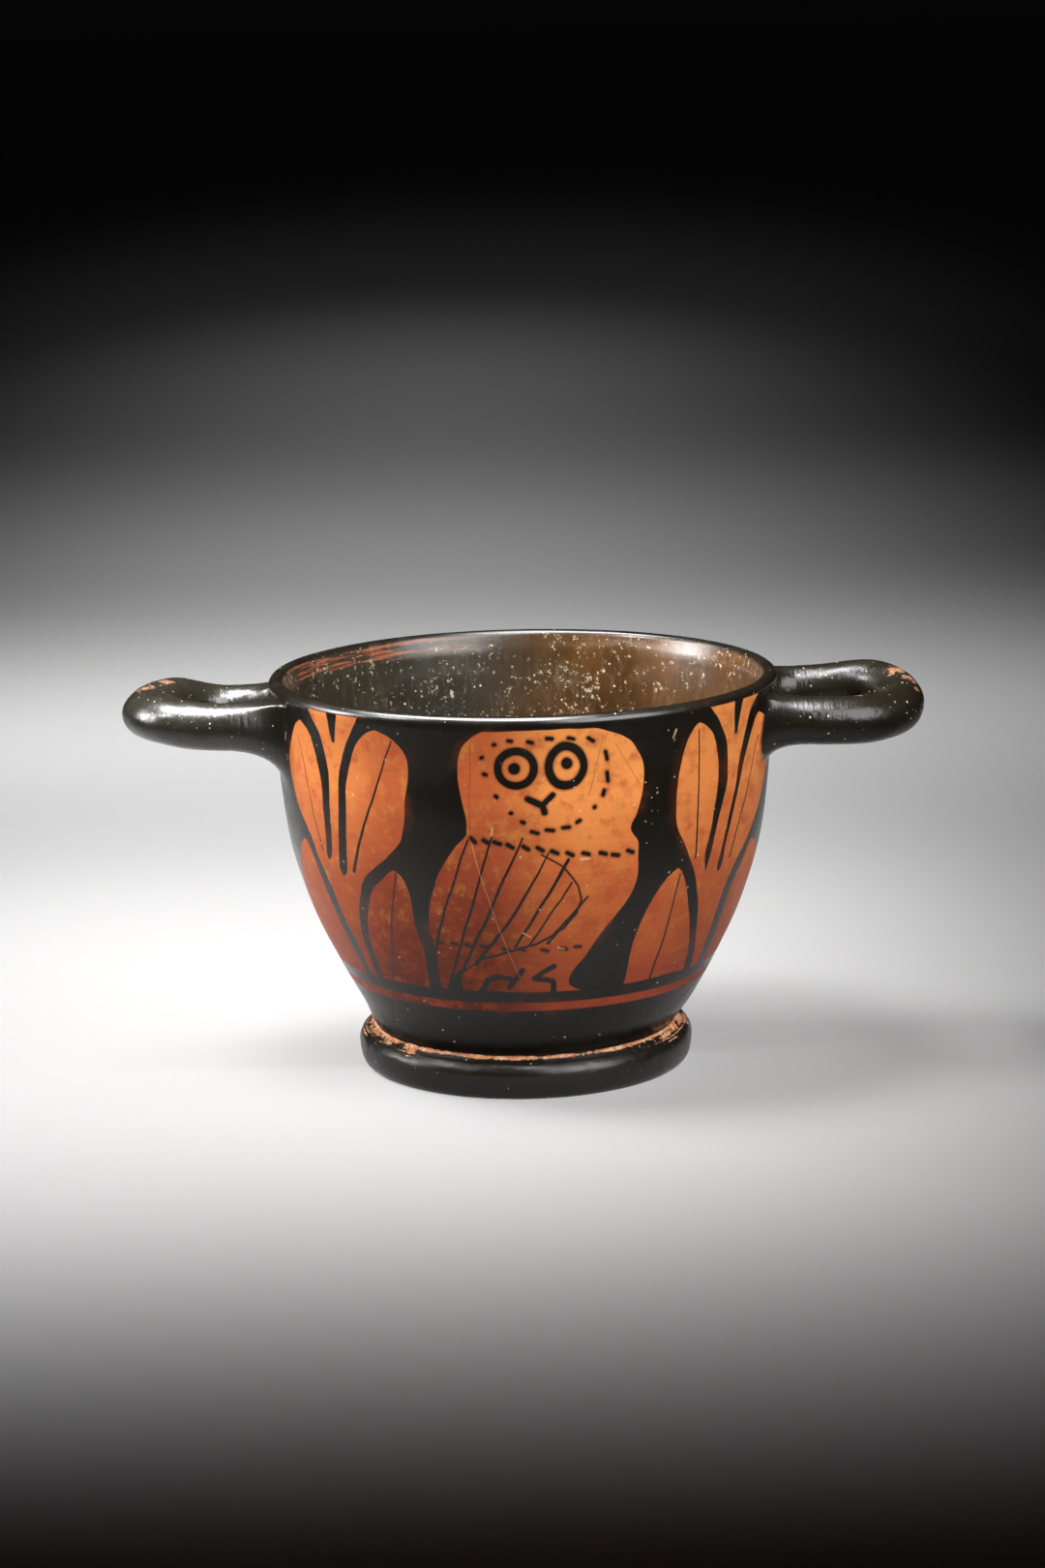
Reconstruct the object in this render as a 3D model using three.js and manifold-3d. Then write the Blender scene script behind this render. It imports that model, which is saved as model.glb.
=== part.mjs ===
// Owl skyphos: a deep wheel-thrown drinking cup on a ring foot, with two horizontal loop handles.
// Millimetres, +Z up. The cup stands on the origin, its handles lie along X and its front faces -Y.
import * as THREE from 'three';
import { mergeVertices } from 'three/addons/utils/BufferGeometryUtils.js';
import Module from 'manifold-3d';

// Wall: the outside from the crease above the foot up to the rim, as [radius, height]
const creaseRadius = 29.4;
const creaseHeight = 7.9;
const outsideStations = [
  [creaseRadius, creaseHeight], [32.9, 14], [37.2, 22], [41.8, 32],
  [45.5, 44], [47.2, 56], [47.9, 66], [48.9, 74],
];
const outsideSteps = 14;

// Lip: a rounded edge, with a bevel down to the inside wall
const rimRadius = 49.1;
const rimHeight = 76.9;
const lipCrownRadius = 1.6;
const lipThickness = 3.7;
const lipBevelHeight = 3.5;
const lipSteps = 6;

// Inside: the hollow from the lip bevel down to the middle of the floor, as [radius, height]
const floorHeight = 8.4;
const insideStations = [
  [rimRadius - lipThickness, rimHeight - lipBevelHeight], [44.4, 64], [43.3, 54], [41.2, 42], [37.4, 31],
  [31.9, 21], [25.2, 13.6], [16, 9.7], [0, floorHeight],
];
const insideSteps = 15;

// Foot: a half-round ring with a flat resting face and a hollow underside
const footRadius = 32.7;
const footBellyHeight = 4.6;
const footTopRise = 3;
const footBaseRadius = 30.9;
const footSteps = 4;
const restInnerRadius = 25.6;
const undersideRadius = 23.4;
const undersideHeight = 3.2;
const undersideCrown = 3.6;
const footShift = -0.7;
const footShiftTop = 14;

// Handles: a round rod bent into a horseshoe, thickened where it is pressed on to the wall
const handleReach = 77.8;
const rodHalfWidth = 4.6;
const rodHalfHeight = 4.85;
const loopRadius = 15;
const loopCentre = handleReach - rodHalfWidth - loopRadius;
const rootHalfSpacing = 13.4;
const rodStart = 40;
const rootRadius = 43;
const rootSpread = 3;
const rootLift = 1.2;
const wallTrimRadius = 46.8;
const wallTrimHeight = 60;
const rodRings = 32;
const rodSides = 12;

// The rod's height along each handle from one root round to the other, how far its roots run down the wall,
// and how much wider than the rod its pressed end is, to each side
const handles = [
  {
    turn: 0, heights: [69.2, 68.6, 68.5, 69.4, 71, 69.6, 68.8],
    flareLength: 10.5, flareDrop: 7.6, endSpread: 0,
  },
  {
    turn: Math.PI, heights: [68.6, 67.7, 70.2, 70.1, 70.4, 69.7, 70],
    flareLength: 14, flareDrop: 10.2, endSpread: 1.5,
  },
];

const turnSegments = 64;
const blackGloss = new THREE.MeshStandardMaterial({ color: 0x1d1a14, roughness: 0.3, metalness: 0 });

function smoothLine(stations, steps) {
  const curve = new THREE.SplineCurve(stations.map(([radius, z]) => new THREE.Vector2(radius, z)));
  return curve.getSpacedPoints(steps);
}

// Quarter and half rounds, as points on an ellipse between two angles
function arcLine(centreRadius, centreHeight, halfWidth, halfHeight, from, to, steps) {
  const arc = new THREE.EllipseCurve(centreRadius, centreHeight, halfWidth, halfHeight, from, to, to < from);
  return arc.getPoints(steps);
}

// The closed section of the cup, from the middle of the underside out, up, over the lip and down inside
function cupProfile() {
  const underside = [
    new THREE.Vector2(0, undersideCrown),
    new THREE.Vector2(undersideRadius, undersideHeight),
    new THREE.Vector2(restInnerRadius, 0),
  ];
  const footLower = arcLine(footBaseRadius, footBellyHeight, footRadius - footBaseRadius, footBellyHeight,
    -Math.PI / 2, 0, footSteps);
  const footUpper = arcLine(creaseRadius, footBellyHeight, footRadius - creaseRadius, footTopRise,
    0, Math.PI / 2, footSteps);
  const outside = smoothLine(outsideStations, outsideSteps);
  const lip = arcLine(rimRadius - lipCrownRadius, rimHeight - lipCrownRadius, lipCrownRadius, lipCrownRadius,
    0, Math.PI * 0.75, lipSteps);
  const inside = smoothLine(insideStations, insideSteps);
  return [...underside, ...footLower, ...footUpper.slice(1), ...outside, ...lip, ...inside];
}

// The foot ring was set on a little off the axis of the cup, so the wall eases over to meet it
function shiftFoot(geometry) {
  const place = geometry.attributes.position;
  for (let i = 0; i < place.count; i++) {
    const share = 1 - THREE.MathUtils.smoothstep(place.getZ(i), creaseHeight, footShiftTop);
    place.setX(i, place.getX(i) + footShift * share);
  }
  return geometry;
}

// A mesh with shared vertices and no flat triangles, ready to be joined to others
function closedSolid(wasm, geometry) {
  const bare = geometry.clone();
  bare.deleteAttribute('normal');
  bare.deleteAttribute('uv');
  const merged = mergeVertices(bare);
  const corners = merged.index.array;
  const triVerts = [];
  for (let i = 0; i < corners.length; i += 3) {
    const [a, b, c] = corners.slice(i, i + 3);
    if (a !== b && b !== c && c !== a) triVerts.push(a, b, c);
  }
  return new wasm.Manifold(new wasm.Mesh({
    numProp: 3,
    vertProperties: new Float32Array(merged.attributes.position.array),
    triVerts: new Uint32Array(triVerts),
  }));
}

// The line that the middle of the rod follows, out along one arm, round the end and back
function handlePath(heights, endSpread) {
  const shoulder = loopRadius * Math.SQRT1_2;
  const shoulderReach = loopCentre + shoulder - endSpread / 2;
  const places = [
    [rodStart, -rootHalfSpacing],
    [loopCentre, -loopRadius],
    [shoulderReach, -shoulder],
    [loopCentre + loopRadius - endSpread, 0],
    [shoulderReach, shoulder],
    [loopCentre, loopRadius],
    [rodStart, rootHalfSpacing],
  ];
  return new THREE.CatmullRomCurve3(places.map(([x, y], i) => new THREE.Vector3(x, y, heights[i])));
}

// A rod of oval section along the path. Its roots spread sideways, upwards and, most of all, down the wall.
function handleGeometry({ turn, heights, flareLength, flareDrop, endSpread }) {
  const path = handlePath(heights, endSpread);
  const flareEnd = rootRadius + flareLength;
  const up = new THREE.Vector3(0, 0, 1);
  const vertices = [];
  for (let ring = 0; ring <= rodRings; ring++) {
    const along = ring / rodRings;
    const middle = path.getPointAt(along);
    const sideways = new THREE.Vector3().crossVectors(path.getTangentAt(along), up).normalize();
    const flare = Math.min(1, Math.max(0, (flareEnd - middle.x) / flareLength)) ** 2;
    const pressed = THREE.MathUtils.smoothstep(middle.x, loopCentre, loopCentre + loopRadius - endSpread);
    for (let side = 0; side < rodSides; side++) {
      const angle = (2 * Math.PI * side) / rodSides;
      const drop = Math.sin(angle) > 0 ? rootLift : flareDrop;
      const out = Math.cos(angle) * (rodHalfWidth + rootSpread * flare + endSpread * pressed);
      const rise = Math.sin(angle) * (rodHalfHeight + drop * flare);
      vertices.push(middle.x + sideways.x * out, middle.y + sideways.y * out, middle.z + rise);
    }
  }
  const faces = [];
  for (let ring = 0; ring < rodRings; ring++) {
    for (let side = 0; side < rodSides; side++) {
      const a = ring * rodSides + side;
      const b = ring * rodSides + ((side + 1) % rodSides);
      faces.push(a, a + rodSides, b, b, a + rodSides, b + rodSides);
    }
  }
  const lastRing = rodRings * rodSides;
  for (let side = 1; side < rodSides - 1; side++) {
    faces.push(0, side, side + 1);
    faces.push(lastRing, lastRing + side + 1, lastRing + side);
  }
  const geometry = new THREE.BufferGeometry();
  geometry.setAttribute('position', new THREE.Float32BufferAttribute(vertices, 3));
  geometry.setIndex(faces);
  return geometry.rotateZ(turn);
}

// The cup and its handles as one fired piece: each rod ends inside the wall and is joined to it
function skyphosGeometry(wasm) {
  const cup = shiftFoot(new THREE.LatheGeometry(cupProfile(), turnSegments).rotateX(Math.PI / 2));
  const wallTrim = new THREE.CylinderGeometry(wallTrimRadius, wallTrimRadius, wallTrimHeight, turnSegments);
  wallTrim.rotateX(Math.PI / 2).translate(0, 0, rimHeight);
  const hollow = closedSolid(wasm, wallTrim);
  let solid = closedSolid(wasm, cup);
  for (const handle of handles) {
    const rod = closedSolid(wasm, handleGeometry(handle)).subtract(hollow);
    solid = solid.add(rod);
  }
  const mesh = solid.getMesh();
  const geometry = new THREE.BufferGeometry();
  geometry.setAttribute('position', new THREE.Float32BufferAttribute(mesh.vertProperties, 3));
  geometry.setIndex(Array.from(mesh.triVerts));
  geometry.computeVertexNormals();
  return geometry;
}

const wasm = await Module();
wasm.setup();

const skyphos = new THREE.Mesh(skyphosGeometry(wasm), blackGloss);
skyphos.name = 'skyphos';

const group = new THREE.Group();
group.add(skyphos);
export default group;
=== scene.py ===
"""Owl skyphos: a wheel-thrown cup in black gloss, with an owl between two plant sprays left in the clay.

Sizes are millimetres until a mesh is made. +Z is up, the handles lie along X and the painted front faces -Y.
"""
import math
from functools import partial, reduce
from types import SimpleNamespace

import bmesh
import bpy
import numpy as np
from mathutils import Matrix, Vector


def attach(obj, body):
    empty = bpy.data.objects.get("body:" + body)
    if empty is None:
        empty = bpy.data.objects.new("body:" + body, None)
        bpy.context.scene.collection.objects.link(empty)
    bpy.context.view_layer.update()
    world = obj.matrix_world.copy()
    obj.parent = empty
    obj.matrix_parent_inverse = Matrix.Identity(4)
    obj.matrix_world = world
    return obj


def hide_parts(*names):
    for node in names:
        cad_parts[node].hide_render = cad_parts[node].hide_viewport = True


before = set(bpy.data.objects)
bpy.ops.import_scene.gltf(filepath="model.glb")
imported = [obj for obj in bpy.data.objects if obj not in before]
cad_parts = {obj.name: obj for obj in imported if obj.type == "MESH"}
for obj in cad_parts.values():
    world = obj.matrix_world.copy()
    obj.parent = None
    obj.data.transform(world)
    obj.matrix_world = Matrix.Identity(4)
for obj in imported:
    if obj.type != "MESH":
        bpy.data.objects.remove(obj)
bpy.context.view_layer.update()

MM = 0.001

# Wall: the outside from the crease above the foot up to the lip, as (radius, height)
CREASE = (29.4, 7.9)
OUTSIDE = [CREASE, (32.9, 14), (37.2, 22), (41.8, 32), (45.5, 44), (47.2, 56), (47.9, 66), (48.9, 74)]

# Lip: a rounded edge, with a bevel down to the inside wall
RIM_RADIUS = 49.1
RIM_HEIGHT = 76.9
LIP_CROWN = 1.6
LIP_TURN = 135
LIP_THICKNESS = 3.7
LIP_BEVEL = 3.5

# Inside: the hollow from the lip bevel down to the middle of the floor
FLOOR_HEIGHT = 8.4
INSIDE = [(RIM_RADIUS - LIP_THICKNESS, RIM_HEIGHT - LIP_BEVEL), (44.4, 64), (43.3, 54), (41.2, 42),
          (37.4, 31), (31.9, 21), (25.2, 13.6), (16, 9.7), (0, FLOOR_HEIGHT)]

# Foot: a half-round ring with a flat resting face and a hollow underside
FOOT_RADIUS = 32.7
FOOT_BELLY = 4.6
FOOT_TOP_RISE = 3.0
FOOT_TOP_TURN = 56
FOOT_BASE_RADIUS = 30.9
UNDERSIDE_RADIUS = 23.4
UNDERSIDE_HEIGHT = 3.2
UNDERSIDE_CROWN = 3.6
POLE_RADIUS = 0.6
FOOT_SHIFT = -0.7
FOOT_SHIFT_TOP = 14.0
FOOT_GROOVE = [(31.1, 7.12), (30.85, 6.95), (30.5, 7.0), (30.2, 7.3), (29.75, 7.6)]

# Handles: a rolled rod bent into a horseshoe, pressed on to the wall at its two roots
HANDLE_REACH = 77.8
ROD_HALF_WIDTH = 4.6
ROD_HALF_HEIGHT = 4.85
LOOP_RADIUS = 15.0
ROOT_HALF_SPACING = 13.4
ROD_START = 40.0
ROOT_HALF_WIDTH = 7.5
ROOT_TOP = 74.8
ROOT_OVAL = 2.5
LOOP_CENTRE = HANDLE_REACH - ROD_HALF_WIDTH - LOOP_RADIUS
HANDLES = [
    {"turn": 0.0, "heights": [69.2, 68.6, 68.5, 69.4, 71, 69.6, 68.8],
     "rod_from": 53.5, "root_bottom": 58.8, "end_spread": 0.0},
    {"turn": math.pi, "heights": [68.6, 67.7, 70.2, 70.1, 70.4, 69.7, 70],
     "rod_from": 57.0, "root_bottom": 56.6, "end_spread": 1.5},
]

# How finely each stretch of the form is drawn
COLUMNS = 288
WALL_ROWS = 76
INSIDE_ROWS = 64
ARC_ROWS = 10
BEVEL_ROWS = 4
CURVE_STEPS = 40
FILLET_LOOPS = 10
FILLET_PULL = 0.6
PAINTED_FILLET = (0.2, 0.26)
ROD_RINGS = 90
ROOT_EASE_CELLS = 7

# Relief: how deep the marks of making and use go, how far apart they lie, and how high up they start
RELIEF = {"Wobble": 0.14, "Wobble span": 24, "Ridge depth": 0.05, "Ridge spacing": 3.4, "Chip depth": 0.12,
          "Chip span": 4, "Dent depth": 0.5, "Dent span": 9}
RELIEF_FROM = 0.5
RELIEF_FULL = 3.0
RIDGE_DRIFT = 3.0
CHIP_LEVELS = (0.52, 0.66, 0.0, 1.0)

# What each point of the mesh knows about itself, and the whole-number inputs of the node trees
MARKS = ("wall", "inside", "foot", "rod")
COUNTS = ("Rows", "Columns", "Sides", "Rings")

# What the word after a node's kind sets, where it isn't an operation
CHOICES = {"ShaderNodeMapRange": "interpolation_type", "ShaderNodeMix": "data_type"}


def add(tree, kind, *values, **settings):
    """Adds a node with its settings and links. A word after its kind is its operation or type. Each value
    goes to the next input: nodes and sockets are linked, colours are hex values, and None is passed over."""
    kind, _, choice = kind.partition(" ")
    node = tree.nodes.new(kind)
    if choice:
        setattr(node, CHOICES.get(kind, "operation"), choice)
    for name, setting in settings.items():
        setattr(node, name, setting)
    inputs = [socket for socket in node.inputs if socket.enabled]
    for socket, value in zip(inputs, values):
        if value is None:
            continue
        if isinstance(value, bpy.types.Node):
            value = next(output for output in value.outputs if output.enabled)
        if isinstance(value, str) and value.startswith("#"):
            value = linear(value)
        if isinstance(value, bpy.types.NodeSocket):
            tree.links.new(value, socket)
        else:
            socket.default_value = value
    return node


def chain(node, kind, *values):
    """Joins values two at a time with nodes of one kind, as in a long product or the least of many."""
    return reduce(partial(node, kind), values)


def linear(code):
    """An sRGB hex colour as the linear values that a shader takes."""
    shares = [int(code[i:i + 2], 16) / 255 for i in (1, 3, 5)]
    return [s / 12.92 if s <= 0.04045 else ((s + 0.055) / 1.055) ** 2.4 for s in shares] + [1.0]


def smooth_line(stations, steps):
    """A Catmull-Rom line through the stations, as points at even spacing."""
    points = np.array(stations, float)
    held = np.vstack([points[:1], points, points[-1:]])
    fine = []
    for before, start, end, after in zip(held, held[1:], held[2:], held[3:]):
        for t in np.linspace(0, 1, CURVE_STEPS, endpoint=False):
            pull_in = (end - before) / 2
            pull_out = (after - start) / 2
            cubic = 2 * start - 2 * end + pull_in + pull_out
            square = -3 * start + 3 * end - 2 * pull_in - pull_out
            fine.append(((cubic * t + square) * t + pull_in) * t + start)
    fine = np.array(fine + [points[-1]])
    run = np.append(0, np.cumsum(np.linalg.norm(np.diff(fine, axis=0), axis=1)))
    even = np.linspace(0, run[-1], steps + 1)
    return np.stack([np.interp(even, run, fine[:, axis]) for axis in range(2)], 1)


def arc(centre, half_width, half_height, start, end, steps):
    """Points on an ellipse between two angles in degrees."""
    turn = np.radians(np.linspace(start, end, steps + 1))
    return np.stack([centre[0] + half_width * np.cos(turn), centre[1] + half_height * np.sin(turn)], 1)


def eased(value, low, high):
    """0 below low, 1 above high, and a smooth step between them."""
    share = np.clip((value - low) / (high - low), 0, 1)
    return share * share * (3 - 2 * share)


# The section of the cup, from the middle of the underside out, up, over the lip and down inside
UNDERSIDE_LINE = [(POLE_RADIUS, UNDERSIDE_CROWN), (6, 3.58), (12, 3.5), (18, 3.35), (22, UNDERSIDE_HEIGHT),
                  (UNDERSIDE_RADIUS, 2.95), (24.4, 2.2), (25.1, 1.0), (25.5, 0.3)]
REST_LINE = [(26.1, 0), (27.6, 0), (29.2, 0)]
FOOT_LOWER = arc((FOOT_BASE_RADIUS, FOOT_BELLY), FOOT_RADIUS - FOOT_BASE_RADIUS, FOOT_BELLY, -90, 0, ARC_ROWS)
FOOT_SHOULDER = arc((CREASE[0], FOOT_BELLY), FOOT_RADIUS - CREASE[0], FOOT_TOP_RISE, 0, FOOT_TOP_TURN,
                    ARC_ROWS)
FOOT_UPPER = np.vstack([FOOT_SHOULDER[1:], FOOT_GROOVE])
WALL_LINE = smooth_line(OUTSIDE, WALL_ROWS)
LIP_CENTRE = (RIM_RADIUS - LIP_CROWN, RIM_HEIGHT - LIP_CROWN)
LIP_LINE = arc(LIP_CENTRE, LIP_CROWN, LIP_CROWN, 0, LIP_TURN, ARC_ROWS)
BEVEL_LINE = np.linspace(LIP_LINE[-1], INSIDE[0], BEVEL_ROWS + 1)[1:-1]
INSIDE_LINE = smooth_line(INSIDE, INSIDE_ROWS)[:-1]
STRETCHES = [UNDERSIDE_LINE, REST_LINE, FOOT_LOWER, FOOT_UPPER, WALL_LINE, LIP_LINE, BEVEL_LINE, INSIDE_LINE]
PROFILE = np.vstack([np.array(stretch, float) for stretch in STRETCHES])
ROW_COUNTS = np.cumsum([0] + [len(stretch) for stretch in STRETCHES])
_, REST_FROM, FOOT_FROM, _, WALL_FROM, LIP_FROM, BEVEL_FROM, INSIDE_FROM, ROWS = ROW_COUNTS


def wall_radius(height):
    """The radius of the outside at a height."""
    return np.interp(height, WALL_LINE[:, 1], WALL_LINE[:, 0])


# Turns round the axis: of one column, from a handle's middle line to one of its roots, and of half a root
COLUMN_TURN = 2 * math.pi / COLUMNS
ROOT_TURN = math.asin(ROOT_HALF_SPACING / wall_radius(ROOT_TOP))
ROOT_HALF_TURN = ROOT_HALF_WIDTH / wall_radius(ROOT_TOP)


def new_tree(name, *sizes):
    """A node tree with a geometry to start from, a named input for each size, and a material."""
    tree = bpy.data.node_groups.new(name, "GeometryNodeTree")
    inputs = {"Geometry": "Geometry"}
    inputs.update({size: "Int" if size in COUNTS else "Float" for size in sizes})
    inputs["Material"] = "Material"
    for socket, kind in inputs.items():
        tree.interface.new_socket(socket, in_out="INPUT", socket_type="NodeSocket" + kind)
    tree.interface.new_socket("Geometry", in_out="OUTPUT", socket_type="NodeSocketGeometry")
    return tree, add(tree, "NodeGroupInput").outputs, partial(add, tree)


def end_tree(tree, form, material):
    """Ends a node tree with its form made real and given its material."""
    solid = add(tree, "GeometryNodeRealizeInstances", form)
    add(tree, "NodeGroupOutput", add(tree, "GeometryNodeSetMaterial", solid, None, material))
    return tree


def grown(tree, source, sizes):
    """The plain mesh that a node tree makes from a source mesh and its sizes."""
    holder = bpy.data.objects.new(tree.name, source)
    bpy.context.scene.collection.objects.link(holder)
    modifier = holder.modifiers.new(tree.name, "NODES")
    modifier.node_group = tree
    for socket in tree.interface.items_tree:
        if socket.in_out == "INPUT" and socket.name in sizes:
            modifier[socket.identifier] = sizes[socket.name]
    shown = holder.evaluated_get(bpy.context.evaluated_depsgraph_get())
    made = bpy.data.meshes.new_from_object(shown)
    bpy.data.objects.remove(holder)
    return made


def points_of(mesh):
    """A mesh's vertices, in millimetres."""
    flat = np.zeros(len(mesh.vertices) * 3)
    mesh.vertices.foreach_get("co", flat)
    return flat.reshape(-1, 3) / MM


def line_mesh(name, points):
    """A mesh of points joined in a line, from millimetres."""
    mesh = bpy.data.meshes.new(name)
    steps = [(i, i + 1) for i in range(len(points) - 1)]
    mesh.from_pydata([Vector(point) * MM for point in points], steps, [])
    return mesh


def turned_cup_tree():
    """Turns a profile round the axis: each row of a grid takes its radius and height from one point of it."""
    sizes = ("Rows", "Columns", "Foot shift", "Crease height", "Shift top")
    tree, given, node = new_tree("turned_cup", *sizes)
    grid = node("GeometryNodeMeshGrid", 1.0, 1.0, given["Rows"], given["Columns"])
    index = node("GeometryNodeInputIndex")
    row = node("ShaderNodeMath FLOOR", node("ShaderNodeMath DIVIDE", index, given["Columns"]))
    column = node("ShaderNodeMath MODULO", index, given["Columns"])
    share = node("ShaderNodeMath DIVIDE", column, given["Columns"])
    turn = node("ShaderNodeMath MULTIPLY_ADD", share, 2 * math.pi, -math.pi / 2)
    station = node("GeometryNodeSampleIndex", given["Geometry"], node("GeometryNodeInputPosition"), row,
                   data_type="FLOAT_VECTOR", domain="POINT")
    section = node("ShaderNodeSeparateXYZ", station).outputs
    shift = node("ShaderNodeMapRange SMOOTHSTEP", section["Z"], given["Crease height"], given["Shift top"],
                 given["Foot shift"], 0.0)
    x = node("ShaderNodeMath MULTIPLY_ADD", section["X"], node("ShaderNodeMath COSINE", turn), shift)
    y = node("ShaderNodeMath MULTIPLY", section["X"], node("ShaderNodeMath SINE", turn))
    place = node("ShaderNodeCombineXYZ", x, y, section["Z"])
    turned = node("GeometryNodeSetPosition", grid, None, place)
    return end_tree(tree, turned, given["Material"])


def rolled_rod_tree():
    """Rolls a rod of oval section along a smooth path through a few stations."""
    tree, given, node = new_tree("rolled_rod", "Half width", "Half height", "Sides", "Rings")
    line = node("GeometryNodeMeshToCurve", given["Geometry"])
    bent = node("GeometryNodeCurveSplineType", line, spline_type="CATMULL_ROM")
    upright = node("GeometryNodeSetCurveNormal", bent, mode="Z_UP")
    stepped = node("GeometryNodeResampleCurve", upright, None, given["Rings"], mode="COUNT")
    circle = node("GeometryNodeCurvePrimitiveCircle", given["Sides"], mode="RADIUS")
    circle.inputs["Radius"].default_value = 1.0
    size = node("ShaderNodeCombineXYZ", given["Half width"], given["Half height"], 1.0)
    section = node("GeometryNodeTransform", circle)
    tree.links.new(size.outputs[0], section.inputs["Scale"])
    rod = node("GeometryNodeCurveToMesh", stepped, section)
    return end_tree(tree, rod, given["Material"])


def relief_tree():
    """Marks of making and use: a hand's wobble, throwing ridges, dents in the rods, chips on the foot."""
    tree, given, node = new_tree("hand_made_relief", *RELIEF)
    place = node("GeometryNodeInputPosition")
    height = node("ShaderNodeSeparateXYZ", place).outputs["Z"]

    def pattern(span, layers, strength):
        """A soft pattern with marks of a given span."""
        scale = node("ShaderNodeMath DIVIDE", 1.0, given[span])
        return node("ShaderNodeTexNoise", place, scale, layers, strength)

    def only_on(mark, level, depth):
        """A level that goes to a given depth, on the points with one mark."""
        marked = node("GeometryNodeInputNamedAttribute", mark, data_type="FLOAT")
        return node("ShaderNodeMath MULTIPLY", node("ShaderNodeMath MULTIPLY", level, given[depth]), marked)

    soft = pattern("Wobble span", 2.0, 0.5)
    wobble = node("ShaderNodeMath MULTIPLY", soft, given["Wobble"])
    phase = node("ShaderNodeMath DIVIDE", height, given["Ridge spacing"])
    drift = node("ShaderNodeMath MULTIPLY_ADD", soft, RIDGE_DRIFT, phase)
    wave = node("ShaderNodeMath SINE", node("ShaderNodeMath MULTIPLY", drift, 2 * math.pi))
    bitten = node("ShaderNodeMapRange SMOOTHSTEP", pattern("Chip span", 3.0, 0.6), *CHIP_LEVELS)
    marks = [
        only_on("inside", wave, "Ridge depth"),
        only_on("foot", bitten, "Chip depth"),
        only_on("rod", pattern("Dent span", 2.0, 0.5), "Dent depth"),
    ]
    depth = chain(node, "ShaderNodeMath ADD", wobble, *marks)
    off_floor = node("ShaderNodeMapRange SMOOTHSTEP", height, RELIEF_FROM * MM, RELIEF_FULL * MM, 0.0, -1.0)
    inward = node("ShaderNodeMath MULTIPLY", depth, off_floor)
    offset = node("ShaderNodeVectorMath SCALE", node("GeometryNodeInputNormal"), inward)
    moved = node("GeometryNodeSetPosition", given["Geometry"], None, None, offset)
    return end_tree(tree, moved, given["Material"])


def root_block(handle, side):
    """The rows and columns of the wall that one root covers, as the first and last of each."""
    heights = PROFILE[WALL_FROM:LIP_FROM, 1]
    low = WALL_FROM + int(np.argmin(abs(heights - handle["root_bottom"])))
    high = WALL_FROM + int(np.argmin(abs(heights - ROOT_TOP)))
    centre = int(handle["turn"] / COLUMN_TURN + COLUMNS / 4 + side * round(ROOT_TURN / COLUMN_TURN))
    reach = round(ROOT_HALF_TURN / COLUMN_TURN)
    return low, high, centre - reach, centre + reach


def fit_wall_to_root(cup, handle, side):
    """Eases the wall's points round one root on to its oval outline. Returns the block of cells it covers."""
    low, high, first, last = root_block(handle, side)
    middle = handle["turn"] + math.pi / 2 + side * ROOT_TURN
    centre_height = (handle["root_bottom"] + ROOT_TOP) / 2
    half_height = (ROOT_TOP - handle["root_bottom"]) / 2
    for row in range(low - ROOT_EASE_CELLS, min(high + ROOT_EASE_CELLS, BEVEL_FROM - 1) + 1):
        for column in range(first - ROOT_EASE_CELLS, last + ROOT_EASE_CELLS + 1):
            near_row = min(max(row, low), high)
            near_column = min(max(column, first), last)
            away = max(abs(row - near_row), abs(column - near_column))
            across = (near_column - (first + last) / 2) / ((last - first) / 2)
            up = (near_row - (low + high) / 2) / ((high - low) / 2)
            if max(abs(across), abs(up)) < 1:
                continue
            fit = 1.0
            if up < 0:
                fit = (abs(across) ** ROOT_OVAL + abs(up) ** ROOT_OVAL) ** (-1 / ROOT_OVAL)
            share = (1 - away / (ROOT_EASE_CELLS + 1)) ** 2
            on_outline = middle + across * fit * ROOT_HALF_TURN
            turn = column * COLUMN_TURN + share * (on_outline - near_column * COLUMN_TURN)
            height = PROFILE[row, 1]
            radius = PROFILE[row, 0]
            if row < LIP_FROM:
                height += share * (centre_height + up * fit * half_height - PROFILE[near_row, 1])
                radius = wall_radius(height)
            cup[row, column % COLUMNS] = (radius * math.sin(turn), -radius * math.cos(turn), height)
    return low, high, first, last


def block_border(low, high, first, last):
    """The grid points round a block of cells, in order."""
    bottom = [(low, column) for column in range(first, last)]
    right = [(row, last) for row in range(low, high)]
    top = [(high, column) for column in range(last, first, -1)]
    left = [(row, first) for row in range(high, low, -1)]
    return bottom + right + top + left


def handle_stations(handle):
    """The points that the middle of a rod passes through, out along one arm, round the end and back."""
    shoulder = LOOP_RADIUS * math.sqrt(0.5)
    shoulder_reach = LOOP_CENTRE + shoulder - handle["end_spread"] / 2
    end_reach = LOOP_CENTRE + LOOP_RADIUS - handle["end_spread"]
    places = [(ROD_START, -ROOT_HALF_SPACING), (LOOP_CENTRE, -LOOP_RADIUS), (shoulder_reach, -shoulder),
              (end_reach, 0), (shoulder_reach, shoulder), (LOOP_CENTRE, LOOP_RADIUS),
              (ROD_START, ROOT_HALF_SPACING)]
    return [(x, y, height) for (x, y), height in zip(places, handle["heights"])]


def pressed_end(rod, end_spread):
    """Widens a rod's rings towards the end of the loop, where it was pressed flatter between the fingers."""
    middles = rod.mean(axis=1)
    ahead = np.gradient(middles, axis=0)
    sideways = np.stack([ahead[:, 1], -ahead[:, 0], np.zeros(len(rod))], 1)
    sideways /= np.linalg.norm(sideways, axis=1)[:, None]
    share = eased(middles[:, 0], LOOP_CENTRE, LOOP_CENTRE + LOOP_RADIUS - end_spread)
    out = np.einsum("rsk,rk->rs", rod - middles[:, None], sideways) / ROD_HALF_WIDTH
    return rod + (out * end_spread * share[:, None])[:, :, None] * sideways[:, None]


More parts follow.
